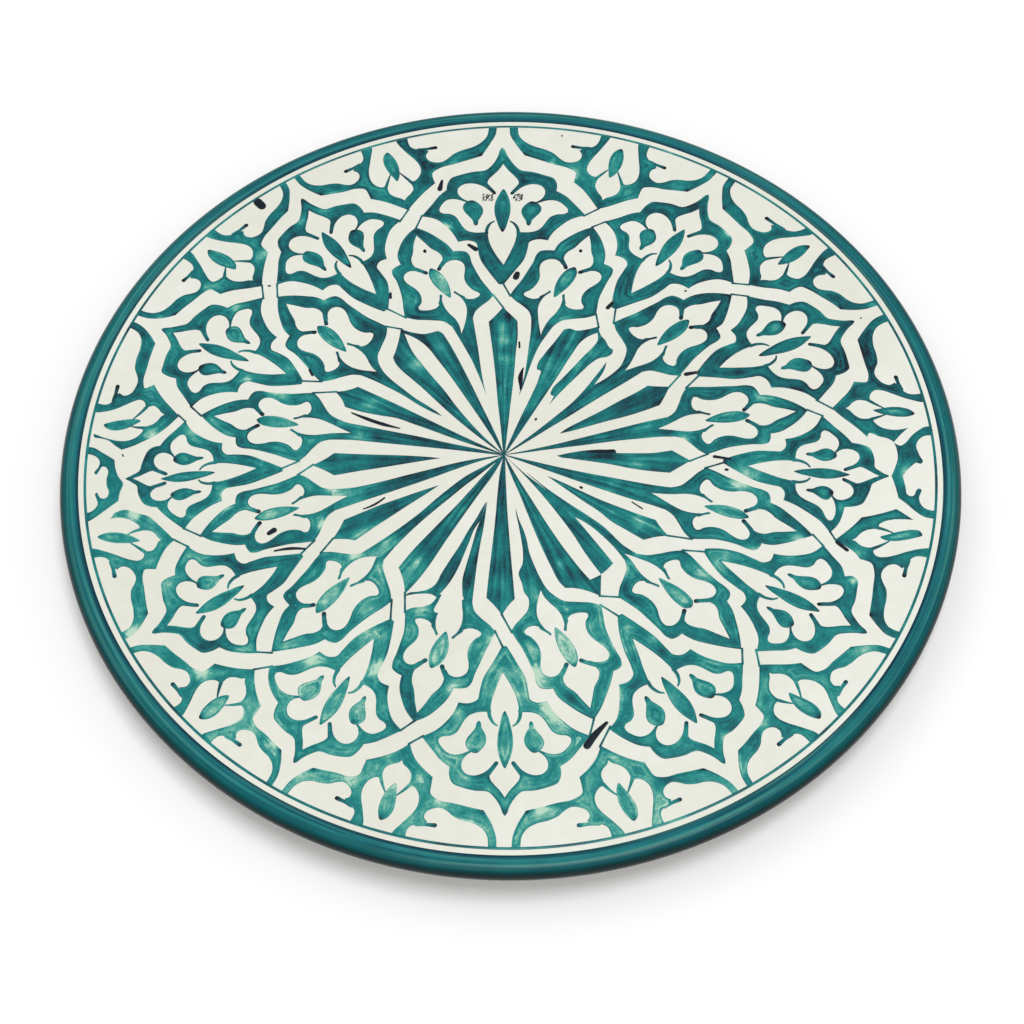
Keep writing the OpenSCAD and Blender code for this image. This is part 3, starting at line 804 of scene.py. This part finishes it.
def border_end(free_ends, hour, drawn_hour, shape):
    """One end of a tulip's border stroke, and its corners: as painted, or as drawn."""
    if hour in free_ends:
        free_hour, shape = free_ends[hour]
        line = painted_at(free_hour)(shape)
    else:
        line = drawn_at(drawn_hour)(shape)
    return line, [len(q) > 2 for q in shape]


def arch_cell(hour):
    """An arch's ground, with its palmette left white and the almond and drops in it."""
    place = drawn_at(hour)
    layers = [(outline(mirrored(ARCH_RIGHT), place), "arch_grounds"),
              (outline(mirrored(PALMETTE_RIGHT), place), None),
              (outline(ARCH_LEAF, place), None)]
    layers += [(line, "arch_grounds") for line in both_brush(LEAF_STROKE, LEAF_STROKE_W, place)]
    layers += [(line, "arch_grounds") for line in both_brush(PETAL_TICK, PETAL_TICK_W, place)]
    layers += [(outline(mirrored(PALMETTE_ALMOND), place), "palmette_almonds")]
    layers += [(line, "palmette_drops") for line in both(DROP, place)]
    add_cell(layers, ARCH_TONE[hour])
    pool(((-3.4, 150.8), (3.4, 150.8)), hour, 1.4, -0.3)
    pool(((-12, 146), (12, 146)), hour, 1.8, -0.45)
    pool(((-10.6, 131.6), (10.6, 131.6), (0, 127.5)), hour, 1.3, -0.35)
    pool(((0, 173),), hour, 2, -0.15)
    pool(((-13, 126), (13, 125.5)), hour, 5, -0.1)
    pool(((4, 108), (-24, 129)), hour, 5, 0.18)


def bud_cell(hour):
    """The field between an arch and the next, with its bud."""
    half = hour + 0.5
    place = drawn_at(half)
    layers = [(outline(mirrored(INNER_RIGHT), place), "inner_grounds"),
              (outline(mirrored(BUD_RIGHT), place), None),
              (outline(mirrored(BUD_LEAF_RIGHT), place), None)]
    layers += [(line, "inner_grounds") for line in both_brush(BUD_TICK, BUD_TICK_W, place)]
    layers += [(line, "inner_grounds") for line in both_brush(BUD_STROKE, BUD_STROKE_W, place)]
    layers += [(outline(mirrored(BUD_ALMOND), place), "bud_almonds")]
    if hour == LOOSE_WEDGE:
        layers.append((outline(LOOSE_GAP, painted_at(LOOSE_HOUR)), None))
    add_cell(layers, ARCH_TONE[hour] - 0.02)
    # The star's wedge meets this field here, so its edge is not the edge of a stroke.
    wedge_hour, wedge_left, leaf_foot, wedge_right = WEDGES[hour]
    seam = on_plate((wedge_left[-1], wedge_right[0]), wedge_hour)
    seam[:, 0] += PATTERN_SHIFT
    seams.append(seam)
    pool(((-3, 108), (3, 108), (0, 110.5)), half, 1.3, -0.5)
    pool(((0, 134.5),), half, 3, -0.12)
    pool(((-14.5, 96), (15, 101)), half, 6, 0.1)


def border_cell(hour):
    """The border from an arch's tip to the next, with its tulip and the leaves beside it."""
    half = hour + 0.5
    place = drawn_at(half)
    left_end, left_sharp = border_end(FREE_LEFT, hour, hour, BORDER_HALF)
    right_end, right_sharp = border_end(FREE_RIGHT, hour, hour + 1, flip(BORDER_HALF))
    right_end, right_sharp = right_end[::-1], right_sharp[::-1]
    tulip_hour, tulip_points = TULIPS_SEEN[hour]
    tip = on_plate((tulip_points[-1],), tulip_hour)
    start_angle = math.atan2(right_end[-1][0], right_end[-1][1])
    stop_angle = math.atan2(left_end[0][0], left_end[0][1])
    sweep = (stop_angle - start_angle + math.pi) % (2 * math.pi) - math.pi
    top = [(BEYOND_RING_R * math.sin(start_angle + sweep * t),
            BEYOND_RING_R * math.cos(start_angle + sweep * t))
           for t in np.linspace(0.02, 0.98, 14)]
    border = np.vstack((left_end, tip, right_end, top))
    sharp = left_sharp + [True] + right_sharp + [False] * len(top)
    layers = [(flow(border, sharp, True, 1.1), "border_strokes")]
    if hour not in FREE_LEFT:
        layers.append((outline(BORDER_LEAF, drawn_at(hour)), None))
        layers.append((brush(BORDER_TICK, BORDER_TICK_W, drawn_at(hour)), "border_strokes"))
        pool(((27.3, 178.8),), hour, 1.5, -0.5)
        pool(((8.6, 172),), hour, 1.5, -0.5)
    if hour not in FREE_RIGHT:
        layers.append((outline(flip(BORDER_LEAF), drawn_at(hour + 1)), None))
        layers.append((brush(flip(BORDER_TICK), BORDER_TICK_W, drawn_at(hour + 1)),
                       "border_strokes"))
        pool(((-27.3, 178.8),), hour + 1, 1.5, -0.5)
        pool(((-8.6, 172),), hour + 1, 1.5, -0.5)
    layers.append((outline(mirrored(TULIP_RIGHT), place), None))
    layers += [(line, "border_strokes")
               for line in both_brush(TULIP_STROKE, TULIP_STROKE_W, place)]
    layers.append((outline(TULIP_ALMOND, place), "border_almonds"))
    add_cell(layers, BORDER_TONE[hour])
    pool(((0.6, 182.4),), half, 1.5, -0.6)
    pool(((0, 150),), half, 3, -0.12)
    pool(((-8.5, 163), (9, 160)), half, 5, 0.1)


for hour in range(HOURS):
    arch_cell(hour)
    bud_cell(hour)
    border_cell(hour)

# The brush ran dry here and there: pale patches and darker touches along the strokes.
for hour in range(HOURS):
    for shape, at in ((ARCH_RIGHT, hour), (INNER_RIGHT, hour + 0.5), (BORDER_HALF, hour)):
        for side in (shape, flip(shape)):
            spots = rng.integers(1, len(shape) - 1, 3)
            pool([side[spots[0]]], at, rng.uniform(2.5, 5), rng.uniform(0.25, 0.6))
            pool([side[spots[1]]], at, rng.uniform(2, 4), rng.uniform(-0.22, -0.08))
            pool([side[spots[2]]], at, rng.uniform(1.5, 3.5), rng.uniform(0.1, 0.4))

for hour, line in SCROLLS:
    add_cell([(outline(line, painted_at(hour)), "border_strokes")], BORDER_TONE[hour])

for hour, u, v, reach, change in (
        (0, 0, 52, 3.5, 0.35), (0, 0.5, 62, 3.5, 0.42), (0, 0.5, 70, 3, 0.3), (1, 4, 60, 4, 0.4),
        (1, 7.5, 68, 4, 0.3), (1, -3, 52, 4, 0.3), (11, -11, 62, 4, 0.4), (11, -8, 50, 3, 0.3),
        (11, 4, 64, 4, 0.25), (4, 3, 70, 4, 0.25), (10, -6, 66, 4, 0.3), (5, 6, 62, 4, 0.22),
        (7, 5, 66, 4, 0.25), (6, 2, 66, 4, 0.2), (8, 9, 66, 3.5, 0.25), (2, 7, 70, 4, 0.2),
        (3, 5, 60, 4, 0.2), (1, -9.5, 60, 3, -0.3), (3, -1.5, 42, 3, -0.4), (3, -2, 47, 3, -0.4),
        (8, -13, 66, 4, 0.25), (9, 10, 66, 4, 0.3)):
    pool(((u, v),), hour, reach, change, bent=False)

# The star in one piece, so that its strokes meet without lying in each other.
star = []
for hour in range(HOURS):
    wedge_hour, wedge_left, leaf_foot, wedge_right = WEDGES[hour]
    if hour != LOOSE_WEDGE:
        star.append((outline(wedge_left + wedge_right, painted_at(wedge_hour)), "star_wedges"))
star.append((outline(LOOSE_LEFT, painted_at(LOOSE_HOUR)), "star_wedges"))
star.append((outline(LOOSE_STRAND, painted_at(LOOSE_HOUR)), "star_wedges"))
for hour in range(HOURS):
    if hour != LOOSE_WEDGE:
        star.append((outline(mirrored(BUD_LEAF_RIGHT), drawn_at(hour + 0.5)), None))
star += [(outline(line, painted_at(hour)), "star_kites") for hour, line in KITES]
add_cell(star, STAR_TONE, STAR_LIFT)

# Thin lines where the white bands cross, and from each arch's foot to the fields beside it.
lines = []
for hour in range(HOURS):
    tulip_hour, tulip_points = TULIPS_SEEN[hour]
    bud_hour, bud_points = BUDS_SEEN[hour]
    nxt = (hour + 1) % HOURS
    right_tip = on_plate((ARCHES_SEEN[hour][7],), hour)[0]
    left_tip = on_plate((ARCHES_SEEN[nxt][6],), nxt)[0]
    border_tip = on_plate((tulip_points[-1],), tulip_hour)[0]
    inner_tip = on_plate((bud_points[0],), bud_hour)[0]
    arch_foot = on_plate((ARCHES_SEEN[hour][5],), hour)[0]
    right_corner = drawn_at(hour + 0.5)(((-19.7, 87),))[0]
    left_corner = drawn_at(hour - 0.5)(((19.7, 87),))[0]
    kite_tip = on_plate((KITE_TIPS[hour],), hour)[0]
    lines += [(right_tip, border_tip), (inner_tip, left_tip), (arch_foot, right_corner),
              (left_corner, kite_tip)]
for a, b in lines:
    reach = (b - a) / max(1e-6, np.linalg.norm(b - a))
    ends = np.array([a - reach * 0.6, (a + b) / 2, b + reach * 0.6])
    crossing = brush(ends, (1, 0.8, 1), lambda points: points)
    add_cell([(crossing, "arch_grounds")], CROSSING_TONE, CROSSING_LIFT)

for hour, line, widths in SLIPS:
    add_cell([(brush(line, widths, painted_at(hour)), "border_strokes")], SLIP_TONE, SLIP_LIFT)

# Two scuffed spots in the far palmette: short dark scratches close together.
SCRATCH_ROWS = 4
SCRATCH_PITCH = (1.15, 1.0)
for u, v in ((-9.6, 143.6), (5.3, 143.6)):
    for row in range(SCRATCH_ROWS):
        for column in range(SCRATCH_ROWS):
            x = u + SCRATCH_PITCH[0] * column + rng.uniform(-0.4, 0.4)
            y = v + SCRATCH_PITCH[1] * row + rng.uniform(-0.3, 0.3)
            scratch = ((x, y), (x + rng.uniform(0.2, 1), y + 0.7))
            width = rng.uniform(0.4, 0.65)
            add_cell([(brush(scratch, (width, width), painted_at(0)), "border_strokes")],
                     SCRATCH_TONE, SCRATCH_LIFT)


# ---------------------------------------------------------------- meshes

def face_height(r):
    return CENTRE_Z + DISH_DEPTH * (r / RING_R) ** 2


def make_mesh(name, points, faces, attributes):
    """A smooth mesh in metres. attributes holds one number for each point, by name."""
    mesh = bpy.data.meshes.new(name)
    mesh.from_pydata([tuple(p) for p in points], [], faces)
    for key, values in attributes.items():
        data = mesh.attributes.new(key, "FLOAT", "POINT")
        data.data.foreach_set("value", np.asarray(values, np.float32))
    mesh.polygons.foreach_set("use_smooth", [True] * len(mesh.polygons))
    mesh.update()
    piece = bpy.data.objects.new(name, mesh)
    bpy.context.scene.collection.objects.link(piece)
    return piece


def lathe(name, profile, turns=288, **even):
    """A turned piece. profile is a list of (radius, height) in mm, and run says how far along
    it a point lies. even holds further attributes that are the same all over."""
    profile = np.asarray(profile, float)
    length = np.concatenate(([0], np.cumsum(np.linalg.norm(np.diff(profile, axis=0), axis=1))))
    points, faces, runs = [], [], []
    starts = []
    for (r, z), run in zip(profile, length / length[-1]):
        starts.append((len(points), r > 1e-6))
        if r <= 1e-6:
            points.append((0, 0, z * MM))
            runs.append(run)
            continue
        for i in range(turns):
            a = 2 * math.pi * i / turns
            points.append((r * math.cos(a) * MM, r * math.sin(a) * MM, z * MM))
            runs.append(run)
    for (s0, ring0), (s1, ring1) in zip(starts, starts[1:]):
        for i in range(turns):
            j = (i + 1) % turns
            if ring0 and ring1:
                faces.append((s0 + i, s1 + i, s1 + j, s0 + j))
            elif ring1:
                faces.append((s0, s1 + i, s1 + j))
            else:
                faces.append((s0 + i, s1, s0 + j))
    attributes = {key: [value] * len(points) for key, value in even.items()}
    return make_mesh(name, points, faces, {"run": runs, **attributes})


def roll_arc(radius, start, stop, steps):
    angles = np.radians(np.linspace(start, stop, steps))
    return [(ROLL_CENTRE_R + radius * math.cos(a), ROLL_CENTRE_Z + radius * math.sin(a))
            for a in angles]


# The edges of the strokes, to tell how far inside them a point lies. Edge points this near a
# seam between the star and a field are left out.
SEAM_REACH = 1.2
seam_lines = [(a, b - a, float(np.linalg.norm(b - a))) for a, b in seams]


def on_seam(p):
    for a, d, size in seam_lines:
        t = float(np.dot(p - a, d)) / (size * size)
        if 0.02 < t < 0.98 and float(np.linalg.norm(a + d * t - p)) < SEAM_REACH:
            return True
    return False


stroke_edges = [p for p in edge_points if not on_seam(p)]
edges = kdtree.KDTree(len(stroke_edges))
for i, p in enumerate(stroke_edges):
    edges.insert((p[0], p[1], 0), i)
edges.balance()

# The star's outer tips take on the tone of the arches beside them, from this radius out.
STAR_BLEND_R = 58
STAR_BLEND_W = 17
# A stroke's surface rises over this distance from its edge.
EDGE_EASE = 0.9
POINTS_AT_ONCE = 4000
pools = np.array(pools)
painted_pieces = {}
for node, store in paint.items():
    flat = np.array(store["points"])
    edge = np.array([edges.find((p[0], p[1], 0))[2] for p in flat])
    tone = np.array(store["tone"], float)
    for start in range(0, len(flat), POINTS_AT_ONCE):
        part = flat[start:start + POINTS_AT_ONCE]
        d2 = ((part[:, None] - pools[None, :, :2]) ** 2).sum(-1)
        spots = (np.exp(-d2 / pools[:, 2] ** 2) * pools[:, 3]).sum(1)
        tone[start:start + POINTS_AT_ONCE] += spots
    r = np.linalg.norm(flat, axis=1)
    if node.startswith("star"):
        clock = np.degrees(np.arctan2(flat[:, 0] - PATTERN_SHIFT, flat[:, 1])) / HOUR_ANGLE - 0.5
        next_to = np.interp(clock % HOURS, range(HOURS + 1), ARCH_TONE + ARCH_TONE[:1])
        reach = np.clip((r - STAR_BLEND_R) / STAR_BLEND_W, 0, 1)
        tone += (next_to - ARCH_TONE[0]) * reach * reach
    ease = np.clip(edge / EDGE_EASE, 0, 1)
    z = face_height(r) + 0.03 + PAINT_LIFT * ease * (2 - ease) + np.array(store["lift"])
    points = np.column_stack((flat * MM, z * MM))
    faces = []
    for face in store["faces"]:
        a, b, c = (flat[i] for i in face[:3])
        up = (b[0] - a[0]) * (c[1] - a[1]) - (b[1] - a[1]) * (c[0] - a[0]) > 0
        faces.append(face if up else face[::-1])
    painted_pieces[node] = make_mesh("paint_" + node, points, faces, {"edge": edge, "tone": tone})

face_profile = [(r, face_height(r)) for r in np.linspace(0, BAND_R, 60)]
white_face = lathe("white_face", face_profile)
ring_half = RING_LINE_W / 2
ring_profile = [(RING_R - ring_half, face_height(RING_R) + 0.01),
                (RING_R - ring_half + 0.2, face_height(RING_R) + 0.14),
                (RING_R + ring_half - 0.2, face_height(RING_R) + 0.17),
                (RING_R + ring_half, face_height(RING_R) + 0.04)]
ring_stroke = lathe("ring_stroke", ring_profile, 720, edge=1.2, tone=CROSSING_TONE)
# The rim's green ends here on the back.
back_edge_r = 192.0
rim_profile = [(BAND_R, face_height(BAND_R) + 0.02)]
rim_profile += roll_arc(ROLL_R, 97.5, -97.5, 64)
rim_profile += [(back_edge_r, face_height(back_edge_r) - WALL_T)]
rim_coat = lathe("rim_coat", rim_profile, 720)
back_profile = [(r, face_height(r) - WALL_T) for r in np.linspace(back_edge_r, FOOT_R, 24)]
back_coat = lathe("back_coat", back_profile)
well_profile = [(r, face_height(r) - WALL_T) for r in np.linspace(FOOT_INNER_R, 0, 30)]
well_coat = lathe("well_coat", well_profile)
foot_top = face_height(FOOT_R) - WALL_T
foot_profile = [(FOOT_R, foot_top), (110.4, 3.6), (109, 1), (108.6, 0.3), (108, 0), (103, 0),
                (102.4, 0.3), (102, 1), (100.6, 3.2), (FOOT_INNER_R, foot_top)]
foot = lathe("thrown_foot", foot_profile)


# ---------------------------------------------------------------- materials

def material(name):
    made = bpy.data.materials.new(name)
    made.use_nodes = True
    tree = made.node_tree
    shader = tree.nodes["Principled BSDF"]
    return made, tree, shader


def link(tree, a, b):
    tree.links.new(a, b)


def noise(tree, vector, scale, detail=3.0, rough=0.5):
    n = tree.nodes.new("ShaderNodeTexNoise")
    n.inputs["Scale"].default_value = scale
    n.inputs["Detail"].default_value = detail
    n.inputs["Roughness"].default_value = rough
    link(tree, vector, n.inputs["Vector"])
    return n.outputs["Fac"]


def maths(tree, kind, a, b=None, c=None, clamp=False):
    n = tree.nodes.new("ShaderNodeMath")
    n.operation = kind
    n.use_clamp = clamp
    for socket, value in zip(n.inputs, (a, b, c)):
        if value is None:
            continue
        if isinstance(value, (int, float)):
            socket.default_value = value
        else:
            link(tree, value, socket)
    return n.outputs[0]


def attribute(tree, name):
    n = tree.nodes.new("ShaderNodeAttribute")
    n.attribute_name = name
    return n.outputs["Fac"]


def ramp(tree, value, stops):
    n = tree.nodes.new("ShaderNodeValToRGB")
    n.color_ramp.interpolation = "B_SPLINE" if len(stops) > 4 else "LINEAR"
    n.color_ramp.elements[0].position = stops[0][0]
    n.color_ramp.elements[0].color = (*stops[0][1], 1)
    n.color_ramp.elements[1].position = stops[-1][0]
    n.color_ramp.elements[1].color = (*stops[-1][1], 1)
    for position, colour in stops[1:-1]:
        e = n.color_ramp.elements.new(position)
        e.color = (*colour, 1)
    link(tree, value, n.inputs["Fac"])
    return n.outputs["Color"]


def object_point(tree):
    n = tree.nodes.new("ShaderNodeTexCoord")
    return n.outputs["Object"]


def combine(tree, x, y, z):
    n = tree.nodes.new("ShaderNodeCombineXYZ")
    for socket, value in zip(n.inputs, (x, y, z)):
        if isinstance(value, (int, float)):
            socket.default_value = value
        else:
            link(tree, value, socket)
    return n.outputs[0]


def separate(tree, vector):
    n = tree.nodes.new("ShaderNodeSeparateXYZ")
    link(tree, vector, n.inputs[0])
    return n.outputs


def bump(tree, shader, height, distance, strength=1.0):
    n = tree.nodes.new("ShaderNodeBump")
    n.inputs["Distance"].default_value = distance
    n.inputs["Strength"].default_value = strength
    link(tree, height, n.inputs["Height"])
    link(tree, n.outputs["Normal"], shader.inputs["Normal"])


def srgb(r, g, b):
    """A colour of 0 to 255 as the linear numbers that a shader takes."""
    out = []
    for v in (r, g, b):
        v /= 255
        out.append(v / 12.92 if v <= 0.04045 else ((v + 0.055) / 1.055) ** 2.4)
    return tuple(out)


GREEN_STOPS = (
    (0.0, srgb(1, 12, 24)), (0.1, srgb(0, 48, 62)), (0.24, srgb(0, 78, 86)),
    (0.4, srgb(0, 102, 106)), (0.56, srgb(6, 124, 122)), (0.72, srgb(48, 148, 140)),
    (0.87, srgb(112, 180, 160)), (1.0, srgb(190, 218, 196)))


def green_paint(name, radial=False):
    """Brushed green. The streaks follow the edges of the strokes, or run out from the middle."""
    made, tree, shader = material(name)
    where = object_point(tree)
    axes = separate(tree, where)
    edge = attribute(tree, "edge")
    tone = attribute(tree, "tone")
    if radial:
        x = maths(tree, "SUBTRACT", axes[0], PATTERN_SHIFT * MM)
        angle = maths(tree, "ARCTAN2", axes[1], x)
        out = maths(tree, "SQRT", maths(tree, "MULTIPLY_ADD", x, x,
                                        maths(tree, "MULTIPLY", axes[1], axes[1])))
        grain = combine(tree, maths(tree, "MULTIPLY", angle, 26.0),
                        maths(tree, "MULTIPLY", out, 34.0), 0.0)
    else:
        grain = combine(tree, maths(tree, "MULTIPLY", edge, 0.75),
                        maths(tree, "MULTIPLY", axes[0], 60.0),
                        maths(tree, "MULTIPLY", axes[1], 60.0))
    streak = noise(tree, grain, 1.0, 2.0, 0.5)
    cloud = noise(tree, where, 170.0, 3.0, 0.6)
    wide = noise(tree, where, 28.0, 2.0, 0.5)
    fine = noise(tree, where, 900.0, 2.0, 0.6)
    total = tone
    for pattern, amount in ((streak, 1.15 if radial else 0.9), (cloud, 0.6), (wide, 0.7),
                            (fine, 0.3)):
        about_zero = maths(tree, "SUBTRACT", pattern, 0.5)
        total = maths(tree, "MULTIPLY_ADD", about_zero, amount, total)
    rim_line = maths(tree, "EXPONENT", maths(tree, "MULTIPLY", edge, -2.4))
    total = maths(tree, "MULTIPLY_ADD", rim_line, -0.09, total, clamp=True)
    colour = ramp(tree, total, GREEN_STOPS)
    link(tree, colour, shader.inputs["Base Color"])
    shader.inputs["Roughness"].default_value = 0.3
    shader.inputs["Specular IOR Level"].default_value = 0.3
    shader.inputs["Coat Weight"].default_value = 0.06
    shader.inputs["Coat Roughness"].default_value = 0.12
    bump(tree, shader, cloud, 0.0004, 0.3)
    return made


def white_glaze(name, pale, deep, rough=0.3):
    """White glaze, slightly uneven between two tints."""
    made, tree, shader = material(name)
    where = object_point(tree)
    wide = noise(tree, where, 9.0, 3.0, 0.5)
    fine = noise(tree, where, 160.0, 4.0, 0.6)
    mix = maths(tree, "MULTIPLY_ADD", maths(tree, "SUBTRACT", fine, 0.5), 0.6, wide, clamp=True)
    link(tree, ramp(tree, mix, ((0.25, deep), (0.75, pale))), shader.inputs["Base Color"])
    shader.inputs["Roughness"].default_value = rough
    shader.inputs["Coat Weight"].default_value = 0.3
    shader.inputs["Coat Roughness"].default_value = 0.12
    bump(tree, shader, noise(tree, where, 60.0, 2.0, 0.5), 0.0005, 0.25)
    return made


def around(tree, run, angle, fineness, turns):
    """Coordinates for streaks that run along the rim: fine across it, and long around it."""
    return combine(tree, maths(tree, "MULTIPLY", run, fineness),
                   maths(tree, "MULTIPLY", maths(tree, "COSINE", angle), turns),
                   maths(tree, "MULTIPLY", maths(tree, "SINE", angle), turns))


def rim_paint(name):
    """Dark green at the rim's inner edge, lighter over its top, and nearly black below. The lighter
    band is a painted highlight, and the near black is partly glaze pooled dark, partly painted
    shade.
    """
    made, tree, shader = material(name)
    where = object_point(tree)
    axes = separate(tree, where)
    run = attribute(tree, "run")
    angle = maths(tree, "ARCTAN2", axes[1], axes[0])
    streak = noise(tree, around(tree, run, angle, 30.0, 2.4), 1.0, 3.0, 0.5)
    cloud = noise(tree, where, 70.0, 3.0, 0.6)
    place = maths(tree, "MULTIPLY_ADD", maths(tree, "SUBTRACT", streak, 0.5), 0.1, run)
    # Along the rim: the lighter stops near 0.1 are a painted highlight, and the dark stops from
    # 0.36 on are glaze pooled dark together with painted shade.
    base_with_painted_light = ramp(tree, place, (
        (0.0, srgb(0, 44, 62)), (0.04, srgb(0, 62, 76)), (0.09, srgb(28, 118, 124)),
        (0.16, srgb(30, 120, 122)), (0.23, srgb(0, 94, 98)), (0.3, srgb(0, 82, 88)),
        (0.36, srgb(0, 56, 58)), (0.42, srgb(4, 26, 26)), (1.0, srgb(24, 26, 20))))
    shade = maths(tree, "MULTIPLY_ADD", cloud, 0.6, 0.64)
    mix = tree.nodes.new("ShaderNodeMixRGB")
    mix.blend_type = "MULTIPLY"
    mix.inputs["Fac"].default_value = 1.0
    link(tree, base_with_painted_light, mix.inputs["Color1"])
    link(tree, shade, mix.inputs["Color2"])
    thin = noise(tree, around(tree, run, angle, 17.0, 1.7), 1.0, 2.0, 0.5)
    upper = maths(tree, "MULTIPLY", maths(tree, "SUBTRACT", 0.36, run), 6.0, clamp=True)
    pale = maths(tree, "MULTIPLY", maths(tree, "MULTIPLY_ADD", thin, 5.0, -2.6, clamp=True), 0.6)
    dark = maths(tree, "MULTIPLY", maths(tree, "MULTIPLY_ADD", thin, -5.0, 2.35, clamp=True), 0.8)
    coloured = mix.outputs["Color"]
    for amount, tint in ((maths(tree, "MULTIPLY", pale, upper), srgb(88, 150, 136)),
                         (maths(tree, "MULTIPLY", dark, upper), srgb(0, 46, 70))):
        streaked = tree.nodes.new("ShaderNodeMixRGB")
        streaked.inputs["Color2"].default_value = (*tint, 1)
        link(tree, amount, streaked.inputs["Fac"])
        link(tree, coloured, streaked.inputs["Color1"])
        coloured = streaked.outputs["Color"]
    link(tree, coloured, shader.inputs["Base Color"])
    shader.inputs["Roughness"].default_value = 0.3
    shader.inputs["Specular IOR Level"].default_value = 0.15
    shader.inputs["Coat Weight"].default_value = 0.06
    shader.inputs["Coat Roughness"].default_value = 0.15
    bump(tree, shader, streak, 0.0004, 0.25)
    return made


def clay(name):
    """Bare fired clay."""
    made, tree, shader = material(name)
    where = object_point(tree)
    grain = noise(tree, where, 260.0, 5.0, 0.65)
    wide = noise(tree, where, 22.0, 2.0, 0.5)
    mix = maths(tree, "MULTIPLY_ADD", maths(tree, "SUBTRACT", wide, 0.5), 0.8, grain, clamp=True)
    link(tree, ramp(tree, mix, ((0.3, srgb(158, 112, 76)), (0.7, srgb(204, 166, 126)))),
         shader.inputs["Base Color"])
    shader.inputs["Roughness"].default_value = 0.85
    bump(tree, shader, grain, 0.0006, 0.5)
    return made


green = green_paint("painted_green")
star_green = green_paint("star_green", radial=True)
rim_green = rim_paint("rim_green")
white = white_glaze("white_glaze", srgb(231, 232, 222), srgb(221, 221, 208))
back_white = white_glaze("back_glaze", srgb(232, 228, 215), srgb(216, 210, 192), 0.38)
bare_clay = clay("bare_clay")

# ---------------------------------------------------------------- pieces on the frame


def settle(piece, node, finish):
    piece.data.materials.clear()
    piece.data.materials.append(finish)
    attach(piece, "root")
    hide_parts(node)


for node, piece in painted_pieces.items():
    on_star = node in ("star_kites", "star_wedges")
    settle(piece, node,
           star_green if on_star else green)
settle(ring_stroke, "ring_line", green)
settle(white_face, "face_glaze", white)
settle(rim_coat, "rim_glaze", rim_green)
settle(back_coat, "back_glaze", back_white)
settle(well_coat, "well_glaze", back_white)
settle(foot, "foot_ring", bare_clay)
# The clay body is hidden under its glazes, and is kept as the CAD made it.
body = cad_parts["clay_body"]
body.data.materials.clear()
body.data.materials.append(bare_clay)

# ---------------------------------------------------------------- floor, light, camera

floor_mesh = bpy.data.meshes.new("floor")
floor_mesh.from_pydata([(-6, -6, 0), (6, -6, 0), (6, 6, 0), (-6, 6, 0)], [], [(0, 1, 2, 3)])
floor = bpy.data.objects.new("floor", floor_mesh)
bpy.context.scene.collection.objects.link(floor)
floor_made, floor_tree, floor_shader = material("pale_floor")
floor_shader.inputs["Base Color"].default_value = (0.97, 0.97, 0.97, 1)
floor_shader.inputs["Roughness"].default_value = 0.9
floor_shader.inputs["Specular IOR Level"].default_value = 0.1
floor.data.materials.append(floor_made)

world = bpy.data.worlds.new("studio")
bpy.context.scene.world = world
world.use_nodes = True
world.node_tree.nodes["Background"].inputs["Color"].default_value = (1, 1, 1, 1)
world.node_tree.nodes["Background"].inputs["Strength"].default_value = 0.5
# Blender's default transform would wash out the greens.
bpy.context.scene.view_settings.view_transform = "Standard"


def soft_light(name, place, size, power, mirrored_in_glaze=True):
    """A soft lamp that faces the plate's middle. Its mirror image can be left out."""
    lamp = bpy.data.lights.new(name, "AREA")
    lamp.shape = "RECTANGLE"
    lamp.size, lamp.size_y = size
    lamp.energy = power
    lamp_object = bpy.data.objects.new(name, lamp)
    lamp_object.location = place
    lamp_object.rotation_mode = "QUATERNION"
    lamp_object.rotation_quaternion = Vector(place).to_track_quat("Z", "Y")
    lamp_object.visible_glossy = mirrored_in_glaze
    bpy.context.scene.collection.objects.link(lamp_object)


# Only the top lamp is mirrored in the glaze; the other two would make its green paler.
soft_light("top", (0.3, -0.1, 2.6), (1.3, 0.8), 26.0)
soft_light("key", (-1.1, 1.1, 2.4), (1.5, 1.5), 8.5, False)
soft_light("front", (0.2, -1.6, 2.4), (2.0, 1.4), 15.0, False)

# The camera looks at a point a little in front of the plate's middle, as the photographer did.
CAMERA_TARGET = Vector((0.56, -33.3, 21.3)) * MM
CAMERA_RISE = math.radians(59.23)
CAMERA_REACH = 854.6 * MM
CAMERA_ROLL = math.radians(-0.275)
back = Vector((0, -math.cos(CAMERA_RISE), math.sin(CAMERA_RISE)))
right = Vector((1, 0, 0))
up = back.cross(right)
turned_right = right * math.cos(CAMERA_ROLL) + up * math.sin(CAMERA_ROLL)
turned_up = up * math.cos(CAMERA_ROLL) - right * math.sin(CAMERA_ROLL)
camera_data = bpy.data.cameras.new("camera")
camera_data.lens = 68.83
camera_data.sensor_width = 36
camera_data.clip_start = 0.05
camera_data.clip_end = 30
camera = bpy.data.objects.new("camera", camera_data)
bpy.context.scene.collection.objects.link(camera)
axes = Matrix((turned_right, turned_up, back)).transposed().to_4x4()
camera.matrix_world = Matrix.Translation(CAMERA_TARGET + back * CAMERA_REACH) @ axes
bpy.context.scene.camera = camera
